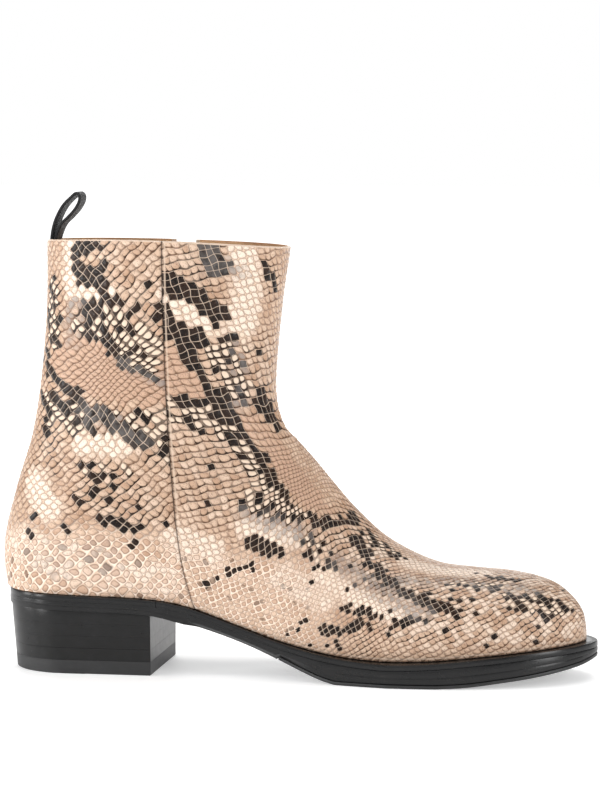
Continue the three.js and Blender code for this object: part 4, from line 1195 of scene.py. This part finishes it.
def waist_bevel(x):
    """How far the lower edge is pared back under the waist."""
    return WAIST_BEVEL * smooth(97, 106, x) * (1 - smooth(128, 190, x))


def outsole():
    x, side = sole_loop(0, SOLE_TIP, 260)
    soft = edge_softness(x)
    shares = [(0, soft), (0.03, soft * 0.3), (0.08, 0.02), (0.3, -0.06), (0.5, -0.1), (0.52, -0.04),
              (0.54, -0.1), (0.7, -0.06), (0.9, 0.0), (0.97, soft * 0.3), (1, soft)]
    rings = []
    for share, inset in shares:
        bevel = waist_bevel(x) * smooth(0.45, 1, share)
        recess = RUBBER_THICK + GAP
        at, y = sole_point(x, side, inset + bevel)
        top = feather(at) - GAP - WELT - JOINT
        bottom = underside(at) + recess * smooth(RUBBER_X + 0.1, RUBBER_X + 0.5, at)
        rings.append(np.stack([at, y, top + (bottom - top) * share], -1))
    lofted("outsole_edge", rings, "boot", BLACK_EDGE, ["outsole"])


def rubber_half_sole():
    x, side = sole_loop(RUBBER_X, SOLE_TIP, 180)
    rings = []
    for share, inset in ((0, 0.35), (0.1, 0.08), (0.3, 0), (0.7, 0), (0.9, 0.12), (1, 0.5)):
        at, y = sole_point(x, side, inset + waist_bevel(x))
        rings.append(np.stack([at, y, underside(at) + RUBBER_THICK * (1 - share)], -1))
    lofted("rubber_sole_skin", rings, "boot", RUBBER, ["rubber_half_sole"])


def heel_ring(z, top, inset, count=90):
    """Loop round the heel block at height z; top(x) bends the height where the layer slopes."""
    back = HEEL_RAKE * (1 - z / HEEL_TOP) + inset
    half = HEEL_ROUND - HEEL_TAPER * (1 - z / HEEL_TOP) - inset
    share = np.linspace(0, 1, count)
    turn = CURVED_LENGTH * (1 - np.cos(share / CURVED_POINTS * np.pi / 2))
    run = CURVED_LENGTH + (1 - CURVED_LENGTH) * (share - CURVED_POINTS) / (1 - CURVED_POINTS)
    u = np.where(share < CURVED_POINTS, turn, run)
    x = back + (BREAST_X - inset - back) * u
    y = half * heel_round(1 - u / CURVED_LENGTH)
    height = np.full(count, z) if top is None else top(x)
    one = np.stack([x, -y, height], -1)
    other = np.stack([x, y, height], -1)[::-1]
    return np.vstack([one, other])


def heel_seat(x):
    return underside(np.minimum(x, BREAST_X)) - JOINT


def heel():
    for k, low in enumerate([0, *LIFT_TOPS]):
        last = k == len(LIFT_TOPS)
        start = low + (JOINT if k else 0)
        end = None if last else LIFT_TOPS[k]
        name = "top_lift" if k == 0 else f"heel_lift_{len(LIFT_TOPS) + 1 - k}"
        bevel = 0.08 if k in (0, 1) else 0.015
        rings = [heel_ring(start, None, bevel + (0.5 if k == 0 else 0)),
                 heel_ring(start + (0.35 if k == 0 else bevel), None, 0)]
        if last:
            rings += [heel_ring(29, lambda x: np.minimum(29, heel_seat(x) - 0.5), 0),
                      heel_ring(33, lambda x: heel_seat(x) - 0.45, 0),
                      heel_ring(34, lambda x: heel_seat(x) - 0.1, 0.12),
                      heel_ring(34, heel_seat, 0.5)]
        else:
            rings += [heel_ring((start + end) / 2, None, 0), heel_ring(end - bevel, None, 0),
                      heel_ring(end, None, bevel)]
        material = RUBBER if k == 0 else BREAST_BLACK
        lofted(f"{name}_block", rings, "boot", material, [name])


# ---- zip ----
ZIP_ALONG = (ZIP_HEAD - ZIP_FOOT) / np.linalg.norm(ZIP_HEAD - ZIP_FOOT)
ZIP_ACROSS = np.array([1.0, 0, 0]) - ZIP_ALONG[0] * ZIP_ALONG
ZIP_ACROSS /= np.linalg.norm(ZIP_ACROSS)
ZIP_OUT = np.cross(ZIP_ALONG, ZIP_ACROSS)
TEETH_LENGTH = 136
TOOTH_PITCH = 2.5
SLIDER_AT = 134
SLIDER_LENGTH = 10
PULLER_HOLE, PULLER_HOLE_AT = 1.5, -22.5    # radius of the puller's hole and its place below the pivot
PIVOT_OUT = 2.6
PIVOT_AT = SLIDER_AT - 1.8
STOPS_TOP = 215.6             # height above which nothing keeps the tapes apart
TAPE_FOOT, TAPE_TOP = 71, 220.4
TAPE_NEAR, TAPE_FAR = 2.6, 13.5    # a tape's edges, from the middle of the zip
TAPE_DEPTH, TAPE_THICK = 2.2, 0.7  # depth under the leather's face, and thickness


def zip_place(points):
    """Design places of points given across, out of and along the zip."""
    points = np.asarray(points, float)
    return ZIP_FOOT + points[:, :1] * ZIP_ACROSS + points[:, 1:2] * ZIP_OUT + points[:, 2:] * ZIP_ALONG


def block(low, high, radius, segments=2):
    """Points and faces of a box with rounded edges."""
    work = bmesh.new()
    bmesh.ops.create_cube(work, size=1)
    low, high = np.array(low, float), np.array(high, float)
    for v in work.verts:
        v.co = (low + high) / 2 + np.array(v.co) * (high - low)
    bmesh.ops.bevel(work, geom=work.edges[:] + work.verts[:], offset=radius, segments=segments,
                    affect="EDGES", profile=0.5)
    points = [list(v.co) for v in work.verts]
    faces = [[v.index for v in face.verts] for face in work.faces]
    work.free()
    return points, faces


def revolved(profile, count=24):
    """A closed ring of (along x, radius) turned about the x axis."""
    turns = np.linspace(0, 2 * np.pi, count + 1)[:-1]
    points = [[x, r * math.cos(t), r * math.sin(t)] for t in turns for x, r in profile]
    size = len(profile)
    faces = [[k * size + m, k * size + (m + 1) % size, (k + 1) % count * size + (m + 1) % size,
              (k + 1) % count * size + m] for k in range(count) for m in range(size)]
    return points, faces


def metal_piece(name, points, faces, body, node, weld=1e-6):
    make_piece(name, points, faces, body, ZIP_METAL, [node], weld=weld)


def joined(pieces):
    points, faces = [], []
    for some, loops in pieces:
        faces += [[v + len(points) for v in loop] for loop in loops]
        points += [list(p) for p in some]
    return points, faces


def zip_teeth():
    for name, side, phase in (("front", 1, 0.0), ("back", -1, 0.5)):
        base = block([0.5, -3.5, -0.45], [3.0, -1.5, 0.45], 0.18)
        head = block([-0.75, -3.3, -0.62], [0.75, -1.7, 0.62], 0.25)
        tooth = joined([base, head])
        centres = np.arange(0.8 + phase * TOOTH_PITCH, TEETH_LENGTH - 0.5, TOOTH_PITCH)
        row = joined([([[p[0] * side, p[1], p[2] + at] for p in tooth[0]], tooth[1]) for at in centres])
        metal_piece(f"{name}_zip_teeth", zip_place(row[0]), row[1], "boot", f"zip_teeth_{name}", 1e-7)
        stop = block([0.6, -3.5, TEETH_LENGTH + 1], [3, -1.5, TEETH_LENGTH + 4], 0.4)
        places = zip_place([[p[0] * side, p[1], p[2]] for p in stop[0]])
        metal_piece(f"{name}_zip_stop", places, stop[1], "boot", f"zip_top_stop_{name}")
    foot = block([-3, -3.5, -4], [3, -1.5, -0.4], 0.5)
    metal_piece("zip_foot_stop", zip_place(foot[0]), foot[1], "boot", "zip_bottom_stop")


def zip_tapes():
    """The two woven tapes under the leather, beside the teeth. They meet above the stops."""
    for name, side in (("front", 1), ("back", -1)):
        rows, columns = 120, 16
        z = np.linspace(TAPE_FOOT, TAPE_TOP, rows + 1)
        near = TAPE_NEAR - 2.4 * smooth(STOPS_TOP, STOPS_TOP + 1.2, z)[:, None]
        far = TAPE_FAR - 6.2 * smooth(STOPS_TOP - 3, STOPS_TOP + 1, z)[:, None]
        offset = (near + (far - near) * np.linspace(0, 1, columns + 1)) * side
        x = zip_x(z)[:, None] + offset
        outside = form_at(x, np.broadcast_to(z[:, None], x.shape))
        normals = grid_normals(outside)
        normals *= np.sign(normals[..., 1:2])
        skin = outside - normals * TAPE_DEPTH
        thickness = np.full(x.shape, TAPE_THICK)
        sheet, faces, source = closed_sheet(skin, normals, np.zeros(x.shape), thickness, 1)
        run = running_length(skin, axis=0)
        weave = np.stack([run, np.abs(offset), np.zeros(x.shape)], -1).reshape(-1, 3)
        make_piece(f"{name}_zip_tape", sheet, faces, "boot", TAPE, [f"zip_tape_{name}"],
                   {"weave": weave[source]})


def form_at(x, z):
    """Points of the inner side of the form that have this x and z."""
    s = np.linspace(0, 1.4, 281)
    a = np.linspace(0.02, 1, 120)
    table = form(s[:, None], a[None]).reshape(-1, 3)
    out = np.empty((*x.shape, 3))
    for place in np.ndindex(x.shape):
        gap = np.hypot(table[:, 0] - x[place], table[:, 2] - z[place])
        near = np.argpartition(gap, 6)[:6]
        weight = 1 / (gap[near] + 1e-3) ** 2
        out[place] = (x[place], (table[near, 1] * weight).sum() / weight.sum(), z[place])
    return out


def zip_slider():
    low, high = SLIDER_AT - SLIDER_LENGTH / 2, SLIDER_AT + SLIDER_LENGTH / 2
    pieces = [block([-4.4, -1.1, low], [4.4, 0.6, high], 0.6, 3),
              block([-0.3, -4.2, low + 3], [0.3, -0.8, high - 2], 0.1),
              block([-3, -5.2, low], [3, -4.0, high], 0.4)]
    for side in (-1, 1):
        centre = side * 2.7
        ear_low, ear_high = [centre - 0.7, 0.3, PIVOT_AT - 1.2], [centre + 0.7, PIVOT_OUT + 1, PIVOT_AT + 1.2]
        pieces.append(block(ear_low, ear_high, 0.3, 3))
    bar = revolved([(-2.9, 0.02), (-2.9, 0.5), (2.9, 0.5), (2.9, 0.02)], 16)
    pieces.append(([[x, y + PIVOT_OUT, z + PIVOT_AT] for x, y, z in bar[0]], bar[1]))
    points, faces = joined(pieces)
    metal_piece("slider_body", zip_place(points), faces, "zip_slider", "zip_slider")


def zip_puller():
    """A flat tab with a round hole, hanging from a barrel on the slider's pin."""
    corners = np.array([(-1.5, -1.2), (1.5, -1.2), (1.5, -6), (3, -8), (3, -25), (1.8, -27), (-1.8, -27),
                        (-3, -25), (-3, -8), (-1.5, -6), (-1.5, -1.2)], float)
    outline = np.stack([even(corners[:, k], running_length(corners), 160) for k in (0, 1)], -1)[:-1]
    for _ in range(4):
        outline = (np.roll(outline, 1, 0) + 2 * outline + np.roll(outline, -1, 0)) / 4
    centre = np.array([0, PULLER_HOLE_AT])
    away = outline - centre
    hole = centre + away / np.linalg.norm(away, axis=1)[:, None] * PULLER_HOLE
    inward = (centre - outline) / np.linalg.norm(centre - outline, axis=1)[:, None]
    loops = [(outline + inward * 0.25, 0.6), (outline, 0.4), (outline, -0.4), (outline + inward * 0.25, -0.6),
             (hole - inward * 0.2, -0.6), (hole, -0.4), (hole, 0.4), (hole - inward * 0.2, 0.6)]
    points = [[x, level, z] for loop, level in loops for x, z in loop]
    count = len(outline)
    faces = ring_faces(len(loops), count)
    last = (len(loops) - 1) * count
    faces += [[last + m, last + (m + 1) % count, (m + 1) % count, m] for m in range(count)]
    barrel = revolved([(-1.6, 0.8), (-1.6, 1.15), (-1.4, 1.3), (1.4, 1.3), (1.6, 1.15), (1.6, 0.8)])
    points, faces = joined([(points, faces), barrel])
    pivot = zip_place([[0, PIVOT_OUT, PIVOT_AT]])[0]
    metal_piece("puller_tab", np.array(points) + pivot, faces, "zip_puller", "zip_puller")


# ---- pull loop ----
STRAP_LINE = [(23.3, 200), (23.5, 212), (23.7, 222), (24.9, 230), (27.1, 235.9), (30.2, 241.1),
              (34.4, 245.3), (37.2, 247.4), (38.8, 246), (38.6, 243), (36.2, 238.8), (32.6, 234.9),
              (29.4, 231.8), (27.3, 228), (25.5, 222), (25.2, 212), (25, 202)]
STRAP_WIDTH = 13.0
STRAP_THICK = 1.5


def pull_loop():
    knots = np.array(STRAP_LINE, float)
    knot_run = running_length(knots)
    line = spline(np.column_stack([knot_run, knots]), np.linspace(0, knot_run[-1], 181))
    tangent = np.gradient(line, axis=0)
    tangent /= np.linalg.norm(tangent, axis=1)[:, None]
    normal = np.stack([-tangent[:, 1], tangent[:, 0]], -1)
    half, thick, roll = STRAP_WIDTH / 2, STRAP_THICK / 2, 0.35
    face = [-half + roll, -half * 0.5, 0, half * 0.5, half - roll]
    section = [*((y, thick) for y in face), (half, thick - roll), (half, -thick + roll),
               *((y, -thick) for y in reversed(face)), (-half, -thick + roll), (-half, thick - roll)]
    run = running_length(line)
    points, weave = [], []
    for k in range(len(line)):
        for y, out in section:
            points.append([line[k, 0] + normal[k, 0] * out, y, line[k, 1] + normal[k, 1] * out])
            weave.append([run[k], y, 0])
    count = len(section)
    faces = ring_faces(len(line), count)
    faces += [list(range(count)), list(range((len(line) - 1) * count, len(line) * count))]
    strap = make_piece("pull_strap", points, faces, None, STRAP,
                       ["pull_loop", "pull_loop_tails"], {"weave": np.array(weave)})
    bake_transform(strap)


# ---- pieces that keep their CAD shape ----
CARRIED = {
    "heel_counter": BOARD, "toe_puff": BOARD, "side_seam_tape": SEAM_TAPE, "insole_board": BOARD,
    "sock_liner": LINING, "cork_filler": CORK, "shank": STEEL, "zip_guard": LINING, "top_lift_insert": RUBBER,
    "heel_nail_1": STEEL, "heel_nail_2": STEEL, "heel_nail_3": STEEL, "heel_nail_4": STEEL,
}


def carried_over():
    for node, material in CARRIED.items():
        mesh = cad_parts[node].data
        mesh.materials.clear()
        mesh.materials.append(material)


# ---- camera, floor and light ----
CAMERA = (409.0, -1542.2, 283.3)
AIM = (153.7, 0.0, 140.7)
SENSOR = 36.0
FOCAL = 182.16


def camera():
    data = bpy.data.cameras.new("camera")
    data.sensor_width = SENSOR
    data.sensor_fit = "HORIZONTAL"
    data.lens = FOCAL
    data.clip_end = 50
    eye = bpy.data.objects.new("camera", data)
    bpy.context.scene.collection.objects.link(eye)
    here, there = Vector(metres([CAMERA])[0]), Vector(metres([AIM])[0])
    eye.location = here
    eye.rotation_euler = (there - here).to_track_quat("-Z", "Y").to_euler()
    bpy.context.scene.camera = eye


FLOOR_REACH = 12.0
FLOOR_GLOW = 0.4              # lifts the floor towards the white of the backdrop


def floor():
    mesh = bpy.data.meshes.new("floor")
    corners = [(x * FLOOR_REACH, y * FLOOR_REACH, 0) for x, y in ((-1, -1), (1, -1), (1, 1), (-1, 1))]
    mesh.from_pydata(corners, [], [[0, 1, 2, 3]])
    p = Paint("floor", Specular_IOR_Level=0.2)
    shade = p.mix(p.noise(60, 2), colour(232, 232, 232), colour(228, 228, 228))
    p.shader.inputs["Emission Color"].default_value = (1, 1, 1, 1)
    away = p.node("VectorMath", {0: p.place()}, operation="LENGTH").outputs["Value"]
    glow = p.step(away, 450, 1500, FLOOR_GLOW, 1.1)
    mesh.materials.append(p.finish(Base_Color=shade, Roughness=0.55, Emission_Strength=glow))
    ground = bpy.data.objects.new("floor", mesh)
    bpy.context.scene.collection.objects.link(ground)


# Softboxes: name, place and aim in millimetres, width and height in metres, power in watts.
LIGHTS = [
    ("left_strip", (-1450, -420, 520), (80, 0, 110), 0.4, 1.5, 20),
    ("low_strip", (-1000, -1050, 260), (60, 0, 40), 0.25, 0.7, 9),
    ("right_strip", (1700, -820, 520), (140, 0, 110), 0.4, 1.5, 21),
    ("top", (320, 350, 1500), (170, 0, 60), 1.3, 0.8, 12),
    ("fill", (100, -1900, 900), (150, 0, 90), 1.6, 1.4, 7),
    ("back", (-300, 1700, 700), (150, 0, 110), 1.4, 1.2, 10),
]
SURROUND = 0.3               # strength of the white room
DOME_RADIUS = 14.0


def dome():
    """A white backdrop that only the camera sees."""
    mesh = bpy.data.meshes.new("backdrop")
    work = bmesh.new()
    bmesh.ops.create_uvsphere(work, u_segments=48, v_segments=24, radius=DOME_RADIUS)
    work.to_mesh(mesh)
    work.free()
    material = bpy.data.materials.new("backdrop")
    material.use_nodes = True
    shader = material.node_tree.nodes["Principled BSDF"]
    shader.inputs["Base Color"].default_value = (0, 0, 0, 1)
    shader.inputs["Specular IOR Level"].default_value = 0
    shader.inputs["Emission Color"].default_value = (1, 1, 1, 1)
    shader.inputs["Emission Strength"].default_value = 1.0
    mesh.materials.append(material)
    shell = bpy.data.objects.new("backdrop", mesh)
    bpy.context.scene.collection.objects.link(shell)
    shell.visible_diffuse = False
    shell.visible_glossy = False
    shell.visible_transmission = False
    shell.visible_shadow = False


def lights():
    for name, place, aim, width, height, power in LIGHTS:
        data = bpy.data.lights.new(name, "AREA")
        data.shape = "RECTANGLE"
        data.size, data.size_y = width, height
        data.energy = power
        lamp = bpy.data.objects.new(name, data)
        bpy.context.scene.collection.objects.link(lamp)
        here, there = Vector(metres([place])[0]), Vector(metres([aim])[0])
        lamp.location = here
        lamp.visible_camera = False
        lamp.rotation_euler = (there - here).to_track_quat("-Z", "Y").to_euler()
    world = bpy.data.worlds.new("room")
    world.use_nodes = True
    background = world.node_tree.nodes["Background"]
    background.inputs["Color"].default_value = (1, 1, 1, 1)
    background.inputs["Strength"].default_value = SURROUND
    bpy.context.scene.world = world
    bpy.context.scene.view_settings.view_transform = "Standard"


camera()
upper()
heel_pad()
welt_and_rand()
outsole()
rubber_half_sole()
heel()
zip_teeth()
zip_tapes()
zip_slider()
zip_puller()
pull_loop()
carried_over()
floor()
dome()
lights()

bpy.context.view_layer.update()
